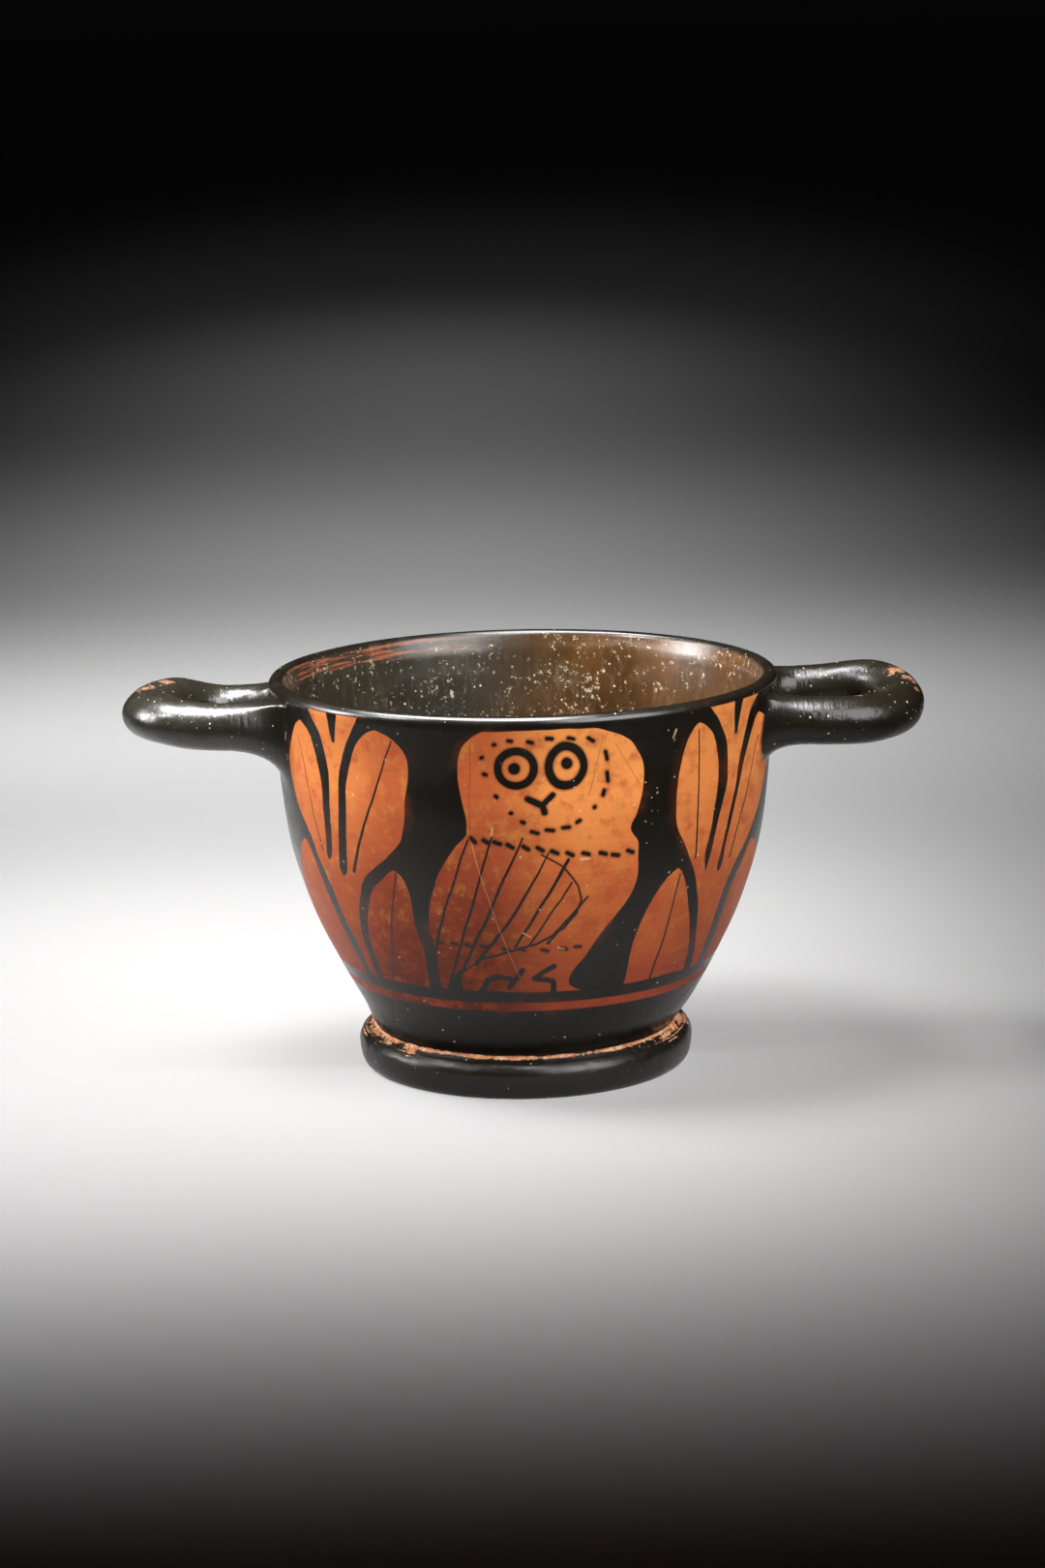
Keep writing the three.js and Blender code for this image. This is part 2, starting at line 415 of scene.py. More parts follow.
def wall_outward(point):
    """The direction that the wall faces at a point on it."""
    half_step = 0.5
    slope = (wall_radius(point[2] + half_step) - wall_radius(point[2] - half_step)) / (2 * half_step)
    turn = math.atan2(point[1], point[0])
    facing = np.array([math.cos(turn), math.sin(turn), -slope])
    return facing / np.linalg.norm(facing)


def best_match(ring, border):
    """The ring's points put in the order that lies closest to the border's."""
    orders = [np.roll(np.arange(len(ring))[::way], shift) for way in (1, -1) for shift in range(len(ring))]
    return min(orders, key=lambda order: np.linalg.norm(ring[order] - border, axis=1).sum())


def fillet_loops(border, ring, inward):
    """Loops of points from the wall to a rod, on curves that leave the wall flat and meet the rod in line."""
    loops = []
    shares = np.linspace(0, 1, FILLET_LOOPS + 2)[1:-1]
    for share in shares:
        loop = []
        for start, end in zip(border, ring):
            facing = wall_outward(start)
            rise = float((end - start) @ facing)
            along = end - start - rise * facing
            near = start + FILLET_PULL * along
            far = end + FILLET_PULL * rise * inward
            rest = 1 - share
            loop.append(rest ** 3 * start + 3 * rest ** 2 * share * near + 3 * rest * share ** 2 * far
                        + share ** 3 * end)
        loops.append(np.array(loop))
    return shares, loops


# The flat charts that the surface unrolls into, as left, bottom, right and top shares of a square
CHARTS = {
    "front": (0.004, 0.645, 0.996, 0.996),
    "back": (0.004, 0.288, 0.996, 0.639),
    "inside": (0.004, 0.150, 0.996, 0.282),
    "foot": (0.004, 0.100, 0.996, 0.144),
    "handle_0": (0.004, 0.004, 0.370, 0.094),
    "handle_1": (0.380, 0.004, 0.746, 0.094),
    "underside": (0.756, 0.004, 0.846, 0.094),
    "floor": (0.856, 0.004, 0.946, 0.094),
}
FLOOR_RADIUS = 26.0
FLOOR_FROM = INSIDE_FROM + int(np.argmax(INSIDE_LINE[:, 0] < FLOOR_RADIUS))
ROUND_CHART_MARGIN = 1.0
ROUND_CHART_WIDTH = 2 * (FLOOR_RADIUS + ROUND_CHART_MARGIN)


def on_chart(name, across, up):
    """A place on a chart, from shares across and up it."""
    left, bottom, right, top = CHARTS[name]
    return left + (right - left) * across, bottom + (top - bottom) * up


def grid_chart(row, column, corner_row, corner_column):
    """Where a corner of a cell of the turned form goes on the charts."""
    if row < REST_FROM or row >= FLOOR_FROM:
        name = "underside" if row < REST_FROM else "floor"
        turn = 2 * math.pi * corner_column / COLUMNS
        reach = PROFILE[corner_row, 0] / ROUND_CHART_WIDTH
        return on_chart(name, 0.5 + reach * math.cos(turn), 0.5 + reach * math.sin(turn))
    if row < WALL_FROM:
        return on_chart("foot", corner_column / COLUMNS, (corner_row - REST_FROM) / (WALL_FROM - REST_FROM))
    if row >= LIP_FROM:
        return on_chart("inside", corner_column / COLUMNS, (corner_row - LIP_FROM) / (FLOOR_FROM - LIP_FROM))
    quarter = COLUMNS // 4
    up = (corner_row - WALL_FROM) / (LIP_FROM - WALL_FROM)
    if quarter <= column < 3 * quarter:
        return on_chart("back", (corner_column - quarter) / (2 * quarter), up)
    across = corner_column - COLUMNS if column >= 3 * quarter else corner_column
    return on_chart("front", (across + quarter) / (2 * quarter), up)


class Clay:
    """The points, faces, charts and marks of the cup, gathered before they become one mesh."""

    def __init__(self):
        self.points = []
        self.marks = {name: [] for name in MARKS}
        self.faces = []
        self.charts = []

    def add_points(self, points, **marks):
        start = len(self.points)
        self.points.extend(points)
        for name in MARKS:
            self.marks[name].extend([marks.get(name, 0.0)] * len(points))
        return list(range(start, start + len(points)))

    def add_face(self, corners, chart):
        self.faces.append(corners)
        self.charts.extend(chart)


def join_loops(clay, loops, chart):
    """Faces between loops of points, unrolled on a chart from its left to its right."""
    count = len(loops[0])
    for step, (loop, beyond) in enumerate(zip(loops, loops[1:])):
        for side in range(count):
            far = (side + 1) % count
            places = [(step, side), (step, side + 1), (step + 1, side + 1), (step + 1, side)]
            spread = [on_chart(chart, along / (len(loops) - 1), around / count) for along, around in places]
            clay.add_face([loop[side], loop[far], beyond[far], beyond[side]], spread)


def thrown_cup(clay):
    """The turned cup with an opening in its wall for each handle root. Returns the openings' borders."""
    profile = line_mesh("cup_profile", [(radius, 0, height) for radius, height in PROFILE])
    sizes = {"Rows": int(ROWS), "Columns": COLUMNS, "Foot shift": FOOT_SHIFT * MM,
             "Crease height": CREASE[1] * MM, "Shift top": FOOT_SHIFT_TOP * MM}
    cup = points_of(grown(turned_cup_tree(), profile, sizes)).reshape(ROWS, COLUMNS, 3)
    blocks = [fit_wall_to_root(cup, handle, side) for handle in HANDLES for side in (-1, 1)]
    index = np.zeros((ROWS, COLUMNS), int)
    for row in range(ROWS):
        marks = {
            "wall": float(WALL_FROM <= row < LIP_FROM + ARC_ROWS // 2),
            "inside": float(row >= BEVEL_FROM),
            "foot": float(FOOT_FROM + ARC_ROWS // 2 <= row < WALL_FROM),
        }
        index[row] = clay.add_points(list(cup[row]), **marks)
    covered = np.zeros((ROWS, COLUMNS), bool)
    for low, high, first, last in blocks:
        covered[low:high, first:last] = True
    for row in range(ROWS - 1):
        for column in range(COLUMNS):
            if covered[row, column]:
                continue
            corners = [(row, column), (row, column + 1), (row + 1, column + 1), (row + 1, column)]
            face = [int(index[r, c % COLUMNS]) for r, c in corners]
            clay.add_face(face, [grid_chart(row, column, r, c) for r, c in corners])
    for row, height in ((0, UNDERSIDE_CROWN), (ROWS - 1, FLOOR_HEIGHT)):
        shift = FOOT_SHIFT if row == 0 else 0.0
        pole = clay.add_points([np.array([shift, 0, height])], inside=float(row > 0))[0]
        centre = on_chart("floor" if row else "underside", 0.5, 0.5)
        for column in range(COLUMNS):
            face = [int(index[row, column]), int(index[row, (column + 1) % COLUMNS]), pole]
            chart = [grid_chart(row, column, row, column), grid_chart(row, column, row, column + 1), centre]
            clay.add_face(face, chart)
    return [[int(index[row, column]) for row, column in block_border(*block)] for block in blocks]


def root_marks(share):
    """How far a loop of a fillet counts as painted wall and as rod, from the wall at 0 to the rod at 1."""
    return {"wall": 1 - float(eased(share, *PAINTED_FILLET)), "rod": float(share)}


def rolled_handle(clay, number, borders):
    """One handle: its rod, and the fillets that were smoothed down on to the wall at its two roots."""
    handle = HANDLES[number]
    stations = line_mesh("handle_line", handle_stations(handle))
    sides = len(borders[0])
    sizes = {"Half width": ROD_HALF_WIDTH * MM, "Half height": ROD_HALF_HEIGHT * MM, "Sides": sides,
             "Rings": ROD_RINGS}
    rod = points_of(grown(rolled_rod_tree(), stations, sizes)).reshape(ROD_RINGS, sides, 3)
    rod = pressed_end(rod, handle["end_spread"])
    middles = rod.mean(axis=1)
    kept = np.flatnonzero(middles[:, 0] > handle["rod_from"])
    turn = np.array(Matrix.Rotation(handle["turn"], 3, "Z"))
    first, last = kept[0], kept[-1]
    into_wall = [middles[first - 1] - middles[first], middles[last + 1] - middles[last]]
    into_wall = [turn @ (step / np.linalg.norm(step)) for step in into_wall]
    rings = [rod[ring] @ turn.T for ring in kept]
    edge = np.array([clay.points[i] for i in borders[0]])
    order = best_match(rings[0], edge)
    rings = [ring[order] for ring in rings]
    loops = [borders[0]]
    shares, fillet = fillet_loops(edge, rings[0], into_wall[0])
    for share, loop in zip(shares, fillet):
        loops.append(clay.add_points(list(loop), **root_marks(share)))
    for ring in rings:
        loops.append(clay.add_points(list(ring), rod=1.0))
    edge = np.array([clay.points[i] for i in borders[1]])
    order = best_match(edge, rings[-1])
    border = [borders[1][i] for i in order]
    shares, fillet = fillet_loops(edge[order], rings[-1], into_wall[1])
    for share, loop in zip(shares[::-1], fillet[::-1]):
        loops.append(clay.add_points(list(loop), **root_marks(share)))
    loops.append(border)
    join_loops(clay, loops, f"handle_{number}")


def fired_mesh(clay):
    """One closed mesh from the gathered clay, with its marks and its charts."""
    mesh = bpy.data.meshes.new("skyphos_form")
    mesh.from_pydata([Vector(point) * MM for point in clay.points], [], clay.faces)
    for name, shares in clay.marks.items():
        mark = mesh.attributes.new(name, "FLOAT", "POINT")
        mark.data.foreach_set("value", shares)
    layer = mesh.uv_layers.new(name="OFBake")
    layer.data.foreach_set("uv", np.array(clay.charts, np.float32).ravel())
    shape = bmesh.new()
    shape.from_mesh(mesh)
    bmesh.ops.recalc_face_normals(shape, faces=shape.faces)
    shape.to_mesh(mesh)
    shape.free()
    mesh.polygons.foreach_set("use_smooth", [True] * len(mesh.polygons))
    return mesh


# The painting, in millimetres on the unrolled wall: across from the middle line, and up from the floor.
# A contour is a list of (height, across). The owl and each leaf have a left and a right contour, and a leaf's
# two cross at its tips.
PAINT_MIDDLE = math.radians(3.5)
PAINT_HALF_WIDTH = 70.0
PAINT_LOW = 18.0
PAINT_RISE = 60.0
FIELD_BASE = 22.7
FIELD_TOP = 75.4
STRIPE_LOW = 18.4
STRIPE_HIGH = 20.2
OWL_TOP = 74.3

OWL = (
    [(22.4, -19), (30, -20.1), (38.2, -21.3), (43, -20.6), (48, -18.9), (52.4, -15.9), (55.3, -13.8),
     (58.1, -13.9), (61.8, -14.7), (66.3, -15.4), (69.6, -15), (72.3, -13.5), (74, -11.2), (75, -8.5)],
    [(22.2, 8.6), (23.5, 5.8), (24.7, 5), (26.9, 5.8), (30.5, 8.5), (34.7, 11.5), (39.6, 15.5),
     (43, 17.4), (48, 18.5), (51.7, 18.5), (54.7, 16.9), (57.5, 18.1), (61.4, 19.3), (65.6, 19.8),
     (69.4, 18.4), (72.1, 15.9), (73.6, 12.6), (74.8, 8.5)],
)
LEFT_SPRAY = [
    ([(40, -43.4), (41, -45.9), (43, -47.2), (46.4, -49.6), (50.6, -52.3), (54.6, -56), (58.8, -58.4),
      (63, -59.3), (66.3, -58.8), (69.8, -56.5), (71.5, -55), (72.5, -53.4), (73.2, -51.6)],
     [(40, -44.6), (41, -43.4), (45.6, -44.4), (46.4, -45.6), (47.4, -46.3), (54, -46.4), (60.8, -46.8),
      (64.7, -47.7), (68, -48.7), (70.8, -50.3), (72, -51.9), (73.2, -55)]),
    ([(40.6, -42), (41.6, -45), (45.6, -46.6), (46.4, -45.6), (47.4, -44.8), (52, -44.4), (61, -44.3),
      (65.2, -44.6), (68.5, -45.5), (71.4, -46.7), (73.6, -48.5), (76, -50)],
     [(40.6, -43.2), (41.6, -40), (43, -40.3), (44, -41.6), (46, -42.6), (50, -42.3), (57, -41.8),
      (61.6, -41.5), (65.8, -40.6), (69.3, -39.3), (72.5, -37.6), (76, -35.6)]),
    ([(22, -35.6), (25, -37.6), (28, -38.8), (34, -42.4), (40, -45.4), (42.6, -46.4), (44, -41.2),
      (45, -40.4), (50.5, -40), (57.4, -39.6), (62, -39.3), (66.1, -38.1), (69.7, -36.6), (71.6, -35.1),
      (73, -33.4), (74, -30.4)],
     [(22, -34.6), (25.5, -35.8), (30, -37.3), (36, -37.8), (40.7, -37.2), (44.1, -35.9), (46.8, -33),
      (49.4, -29.8), (52.1, -27.3), (55, -26.4), (61, -25.6), (65.6, -24.9), (69.3, -25.6),
      (71.3, -27.3), (73, -30), (74, -33.6)]),
    ([(22, -33), (25.9, -34), (28.4, -35), (33.5, -35.6), (38.6, -35.1), (41.1, -34.4), (42.9, -33.3),
      (44.7, -31.3), (46.2, -29.6), (47.2, -27.4)],
     [(22, -21.6), (26, -22.1), (30.4, -22.7), (35.2, -24.2), (40, -24.9), (43.8, -26), (45.3, -26.8),
      (46.4, -28), (47.2, -29.6)]),
    ([(22, -53.4), (27, -57.5), (32, -60), (38, -61), (42, -60), (45, -58.6), (47.2, -57.2),
      (48.5, -55.6), (49.4, -53)],
     [(22, -37.6), (27, -41.1), (31.8, -43.8), (36.4, -46.4), (40.2, -48.4), (43.1, -49.9), (46, -51.6),
      (48.1, -53.4), (49.4, -56)]),
]
RIGHT_SPRAY = [
    ([(22, 33.8), (26, 34.4), (31.4, 33.7), (36.5, 33.5), (40.8, 32.6), (44.1, 31.7), (47.5, 30),
      (50.5, 28.6), (53, 27.4), (57, 26.8), (61.5, 27), (65.5, 27.7), (68.7, 28.8), (71.2, 30.3),
      (72.6, 31.8), (73.4, 34)],
     [(22, 36.1), (25.2, 37.1), (30.1, 38.7), (34.9, 40.2), (38.7, 41.9), (41.4, 43), (43.4, 34.6),
      (46.7, 34.5), (51.1, 35.7), (55.5, 36.7), (59.8, 37.7), (62.5, 38), (65.8, 37.6), (69, 36.6),
      (71, 35.2), (72.6, 33.2), (73.4, 31)]),
    ([(40, 39.2), (41, 36), (42.8, 34), (44, 35), (45.4, 35.6), (48.6, 36.7), (53, 37.9), (57.2, 39.6),
      (61.5, 40.8), (65.3, 40.7), (68.4, 40.2), (71.7, 38.2), (73.4, 37), (76, 34.8)],
     [(40, 38), (41, 40.4), (42.2, 39), (43.5, 38.3), (45.8, 39), (50.2, 40.6), (54.5, 42), (58.7, 43.6),
      (62.7, 44.5), (67.3, 46.1), (70.1, 47.3), (72.9, 48.8), (76, 52.4)]),
    ([(39.4, 42), (40.4, 40.2), (41.9, 38.2), (42.7, 39.1), (44.1, 39.9), (47.8, 40.8), (52.1, 42.5),
      (56.4, 44), (60.6, 45.7), (64.1, 47.1), (66.8, 48.6), (69.6, 50.4), (71.2, 51.8), (72.2, 54.6)],
     [(39.4, 40.6), (40.4, 42.8), (43, 44.8), (46.1, 48.5), (49.9, 52.9), (53.8, 56.7), (57.9, 59.6),
      (61.2, 61.3), (64, 61.4), (66.5, 60.3), (69, 57.4), (70.8, 54.9), (71.6, 53.2), (72.2, 51)]),
    ([(21.6, 16), (25.3, 16.8), (29.5, 17.4), (34.3, 18.9), (38.9, 20.8), (42.4, 23.5), (44.4, 25.6),
      (45.3, 27), (46.2, 29)],
     [(21.6, 31.5), (26.5, 32), (31.9, 31.6), (37.1, 30.7), (41.3, 29.8), (43.6, 28.9), (45.1, 27.9),
      (46.2, 26)]),
    ([(22, 38.4), (26.9, 40.9), (31.8, 42.5), (36.5, 44.1), (39.5, 45.8), (42.2, 48.2), (44.5, 50.2),
      (46.2, 52), (47.2, 54.6)],
     [(22, 53.8), (27, 57), (33, 60), (39, 60.6), (42, 59.8), (44.2, 57.6), (45.8, 54.8), (47.2, 51)]),
]

# Brush strokes as (across, height) points, with half their width at the start and at the end
WING = [
    ([(-13.6, 53.7), (-17.6, 42), (-20.7, 29.3)], 0.2, 0.32),
    ([(-9.1, 54.4), (-12.8, 41.5), (-17.4, 23.4)], 0.2, 0.3),
    ([(-3.5, 54.1), (-9.6, 40), (-15.1, 26.2)], 0.2, 0.36),
    ([(1.4, 51.1), (-4.6, 40), (-12.1, 28.7)], 0.16, 0.42),
    ([(5, 49.6), (0.6, 42), (-5, 32.4)], 0.34, 0.26),
    ([(5.5, 45.2), (-2.5, 32.4)], 0.2, 0.2),
    ([(8.4, 42.3), (1.1, 33.1)], 0.2, 0.3),
    ([(0, 50.8), (4.1, 48.3), (6.7, 44.5), (7.2, 41.6), (6.3, 38.9), (4.1, 36.1), (-0.9, 32.9), (-7, 31.2),
      (-12.1, 29.4)], 0.18, 0.26),
    ([(7.2, 40.8), (5.2, 37.6), (2.4, 35.3)], 0.24, 0.2),
    ([(-10.6, 30.2), (-15.4, 26.3)], 0.16, 0.24),
]
TAIL = [([(-15.2, 27), (-15.9, 24.6), (-16.3, 22.4)], 0.3, 1.7)]
FEET = [
    ([(-11, 22.8), (-10, 25.1), (-8.2, 26.1), (-6.3, 25.7), (-5.2, 25.4)], 0.7, 0.5),
    ([(-3.7, 27.5), (-6, 23.8)], 0.52, 0.6),
    ([(2.3, 28.2), (-1.4, 25.7), (2.1, 24.9), (2.2, 22.4)], 0.52, 0.6),
]
BEAK = [([(-2.3, 61.5), (0.2, 60.4)], 0.62, 0.62), ([(2.2, 62.2), (0.3, 60.4), (0.7, 59)], 0.55, 0.6)]
MIDRIBS = [
    ([(-28.4, 71.8), (-32.8, 60.4), (-36.6, 51), (-38.5, 45.4)], 0.16, 0.42),
    ([(-54.4, 69.5), (-50.5, 56), (-47.6, 48)], 0.1, 0.16),
    ([(-28.2, 46.2), (-29.6, 36), (-30.5, 23)], 0.16, 0.2),
    ([(32.3, 71.5), (32.3, 60), (31.8, 46.8)], 0.14, 0.22),
    ([(52.8, 67), (47.4, 55), (42.4, 45)], 0.14, 0.24),
    ([(28.1, 44.2), (24.6, 31), (21.9, 22.2)], 0.16, 0.26),
]
CALYX_NOTCHES = [([(-42.4, 70.2), (-42.8, 75.8)], 0.5, 1.5), ([(43.2, 69.6), (44.1, 76)], 0.5, 1.6)]
FACE_MARKS = [(-8.3, 71.8, 20, 0.1), (-5.5, 72.5, -8, 0.22), (-1.9, 72.2, -18, 0.37), (1.6, 72.7, -6, 0.47),
              (5.7, 72.5, -12, 0.45), (9.3, 72.2, -35, 0.57), (12.2, 69.1, -78, 0.7), (12.4, 65, -85, 0.85),
              (11.6, 62, 75, 0.42), (9.9, 59.4, 60, 0.08), (6.8, 56.9, 30, 0.3), (4.5, 55.9, 5, 0.55),
              (1.6, 55.5, -10, 0.65), (-1.2, 55.2, -15, 0.6), (-3.5, 57.1, -20, 0.2), (-5.5, 58.8, 0, 0.05),
              (-8.1, 61.9, -40, 0.17), (-10.2, 66.1, -20, 0.22), (-10.7, 69.3, 25, 0.1)]
FACE_MARK_HALF = 0.38
COLLAR_MARKS = [(-12.6, 53.8, -48), (-10.2, 53.6, -28), (-8.1, 53.3, -20), (-5.8, 52.7, -30),
                (-2.9, 52.3, -35), (-0.2, 51.9, -35), (2.5, 51.2, -22), (5.3, 50.7, -32),
                (8.2, 50.5, -15), (11.6, 50.4, -12), (14, 50, -12), (16.9, 50.4, -25)]
COLLAR_MARK_LENGTH = 0.55
COLLAR_MARK_HALF = 0.42
WING_EDGE_MARKS = [(-19.5, 32.9, -20), (-16.4, 32.9, -18), (-13.7, 32.6, -20), (-10.6, 32.4, -22),
                   (-6.6, 32, -20), (-3.7, 31.8, -16), (0.6, 31.6, -14), (4.1, 31.9, -12), (6.8, 32.2, -8)]
WING_EDGE_MARK_LENGTH = 0.5
WING_EDGE_MARK_HALF = 0.32
EYES = [((-4.5, 67.3), (-4.8, 67.3), 1.0), ((4.6, 67.5), (4.7, 68), 1.12)]
EYE_RING_MIDDLE = 3.25
EYE_RING_HALF = 0.75
PUPIL_RADIUS = 1.08
EDGE_BLUR = 0.14
INCISED = [([(-12.9, 72), (-13.2, 62.9), (-13.1, 55)], 0.08, 0.08), ([(14, 71.1), (19, 62.8)], 0.06, 0.06),
           ([(11.6, 72.7), (8.8, 61.4)], 0.06, 0.06)]
SCRATCHES = [([(-12.8, 53.1), (-11.3, 46.9), (-8.6, 38.1), (-4.2, 26)], 0.06, 0.03),
             ([(7.3, 49.5), (8.9, 49.5)], 0.24, 0.2), ([(-3.6, 35.3), (-2, 34.2)], 0.14, 0.1),
             ([(3, 32.2), (4.2, 31.8)], 0.16, 0.12), ([(-9, 56), (-9.2, 54.6)], 0.16, 0.1),
             ([(62.4, 75.5), (61.6, 72), (62.3, 67), (62.2, 63)], 0.07, 0.06),
             ([(-60, 69.2), (-60.4, 67.6)], 0.14, 0.1), ([(26.7, 72.2), (26.1, 70.9)], 0.25, 0.15),
             ([(-62.4, 66.6), (-62.8, 65)], 0.14, 0.1), ([(-60.2, 64.8), (-60, 63.6)], 0.1, 0.08)]

# Places where the gloss is worn off, as a centre on the cup and a reach
HANDLE_WEAR = [((72.3, 4, 74.2), 4.2), ((75.2, 0, 74.3), 4.0), ((66.8, 11, 70.7), 2.6),
               ((69.4, 10.6, 70.6), 1.8), ((63.4, -13.5, 73.4), 1.7), ((75.6, -4, 72.4), 1.8),
               ((-72.9, 1, 74.8), 3.6), ((-69.4, 6, 74.8), 3.2), ((-65.5, 13, 74.6), 2.6)]

# Where the gloss lies thin right of the owl, and the heights at which the foot is worn
THIN_GAP = 26.3
CREASE_HEIGHT = 7.75
SHOULDER_LOW = 6.6
SHOULDER_HIGH = 8.2
SHOULDER_EASE = 0.3
EDGE_HEIGHT = 6.5


def mark_ends(across, up, slant, length):
    """The two ends of a short brush mark that slants by some degrees."""
    run = length * math.cos(math.radians(slant))
    rise = length * math.sin(math.radians(slant))
    return [(across - run, up - rise), (across + run, up + rise)]


def short_marks():
    """The dabs of the face, the collar and the wing's edge, as points and half widths."""
    marks = [(mark, FACE_MARK_HALF) for mark in FACE_MARKS]
    marks += [(mark + (COLLAR_MARK_LENGTH,), COLLAR_MARK_HALF) for mark in COLLAR_MARKS]
    marks += [(mark + (WING_EDGE_MARK_LENGTH,), WING_EDGE_MARK_HALF) for mark in WING_EDGE_MARKS]
    return [(mark_ends(*mark), half, half) for mark, half in marks]


# Patterns of the clay and the gloss: a mark's size in millimetres along x, y and z, how many finer layers lie
# over it, and how strong they are. Lime dots, crumbs of wear and the finger marks on the rods are finer on a
# real cup, and are drawn as coarse as they need to be to show.
PATTERNS = {
    "brush_waver": ((9, 9, 9), 2.0, 0.55),
    "wiping": ((9, 9, 1.4), 4.0, 0.65),
    "clay_cloud": ((12, 12, 12), 3.0, 0.55),
    "clay_mottle": ((2.4, 2.4, 2.4), 4.0, 0.68),
    "clay_stain": ((3.6, 3.6, 3.6), 5.0, 0.66),
    "gloss_depth": ((11, 11, 11), 4.0, 0.6),
    "lime_crust": ((10, 10, 10), 4.0, 0.65),
    "lime_fleck": ((1.15, 1.15, 1.15), 4.0, 0.72),
    "lime_dribble": ((1.4, 1.4, 7), 4.0, 0.65),
    "foot_patch": ((5, 5, 2), 3.0, 0.6),
    "crumb": ((0.9, 0.9, 0.9), 4.0, 0.7),
    "rim_streak": ((12, 12, 0.5), 3.0, 0.6),
    "chalk": ((1.2, 1.2, 1.2), 4.0, 0.65),
    "polish": ((6, 6, 6), 4.0, 0.6),
    "brush_streak": ((5, 5, 0.5), 3.0, 0.6),
    "finger_press": ((1.5, 1.5, 1.5), 3.0, 0.65),
    "root_smoothing": ((1.1, 7, 7), 2.0, 0.5),
}
BRUSH_WAVER = 0.9
LIME_DOT_SPACING = 1.1
GLOSS_IOR = 1.5

# Spans: two places in millimetres, or two levels of a pattern, and the shares that they bring
FRONT_SIDE = (-2.0, 2.0, 1.0, 0.0)
CLAY_MIDDLE = (20.0, 46.0, 0.0, 1.0)
CLAY_TOP = (44.0, 66.0, 0.0, 1.0)
RED_FROM = (-42.0, -28.0, 0.5, 1.0)
RED_TO = (-11.0, 5.0, 1.0, 0.0)
# Painted shade: right of the owl the clay is mixed towards the darker red ramp
SHADED_RIGHT = (20.0, 30.0, 0.0, 0.35)
OCHRE_LEVELS = (0.52, 0.72, 0.0, 0.6)
STAIN_LEVELS = (0.5, 0.68, 0.0, 0.7)
BESIDE_FIGURES = (-2.6, -0.1, 0.0, 1.0)
OFF_FIGURES = (-0.05, 0.15, 1.0, 0.0)
THIN_LEVELS = (0.5, 0.7, 0.0, 0.9)
THIN_GAP_REACH = (1.0, 4.0, 0.4, 0.0)
THIN_GAP_HEIGHT = (50.0, 56.0, 0.0, 1.0)
# Painted sheen: the rods are lightened towards grey, most on the left one
ROD_GREY_SHEEN = (-50.0, 50.0, 0.45, 0.1)
# Partly painted light: the inside is lighter and warmer on the right
LINING_WARM_AND_LIT = (-14.0, 18.0, 0.0, 1.0)
LINING_DEPTH = (0.3, 0.7, 0.5, 1.3)
LINING_HEIGHT = (66.0, 73.0, 1.0, 0.15)
LIME_OFTEN = (0.4, 0.66, 0.015, 0.2)
LIME_DOT_HALF = (0.0, 1.0, 0.05, 0.15)
LIME_DOT_STRENGTH = (0.0, 1.0, 0.2, 0.8)
LIME_CRUST = (0.38, 0.64, 0.0, 1.0)
LIME_FLECKS = (0.67, 0.76, 0.0, 0.55)
LIME_DRIBBLES = (0.5, 0.76, 0.0, 0.1)
FOOT_SIDES = (8.0, 25.0, 0.0, 1.0)
FOOT_OUTSIDE = (28.0, 28.6, 0.0, 1.0)
CREASE_WEAR = (0.05, 0.65, 0.9, 0.0)
CREASE_PATCHES = (0.34, 0.54, 0.6, 1.1)
SHOULDER_PATCHES = (0.34, 0.66, 0.38, 0.74)
EDGE_WEAR = (0.06, 0.24, 0.72, 0.0)
EDGE_PATCHES = (0.46, 0.58, 0.2, 1.0)
EDGE_SIDES = (0.0, 1.0, 0.4, 1.0)
WEAR_LEVELS = (0.62, 0.68, 0.0, 1.0)
RUB_LEVELS = (0.48, 0.6, 0.0, 1.0)
RUB_HEIGHT = (72.4, 73.4, 0.0, 0.75)
RUB_LEFT = (-30.0, -4.0, 1.0, 0.0)
RUB_BEHIND = (0.0, 12.0, 0.0, 1.0)
THINNED_REACH = (0.05, 0.5, 0.45, 0.0)
INCISED_EDGE = (-0.05, 0.1, 0.5, 0.0)
SCRATCH_EDGE = (-0.06, 0.06, 0.45, 0.0)
CHALK_LEVELS = (0.46, 0.6, 0.0, 0.8)
DIRT_LEVELS = (0.42, 0.36, 0.0, 0.8)
GLOSS_ROUGHNESS = (0.3, 0.7, 0.2, 0.32)
ROOT_MARK_DEPTH = (54.0, 68.0, 0.16, 0.04)
BELOW_LIP = (60.0, 74.0, 1.0, 0.0)
WALL_MIRROR = (0.0, 1.0, 0.55, 0.36)
ROD_MIRROR = (-50.0, 50.0, 0.25, -0.2)
LOW_MIRROR = (-20.0, 10.0, -0.33, -0.15)
LOW_DOWN = (5.0, 30.0, 1.0, 0.0)

# Colours up the wall, from the foot to the rim. Their darkening towards the foot is partly painted shade,
# and the red ramp also stands for painted shade right of the owl
CLAY_BRIGHT = ("#843822", "#b05c30", "#d48545")
CLAY_RED_AND_SHADE = ("#542316", "#803822", "#a5532d")


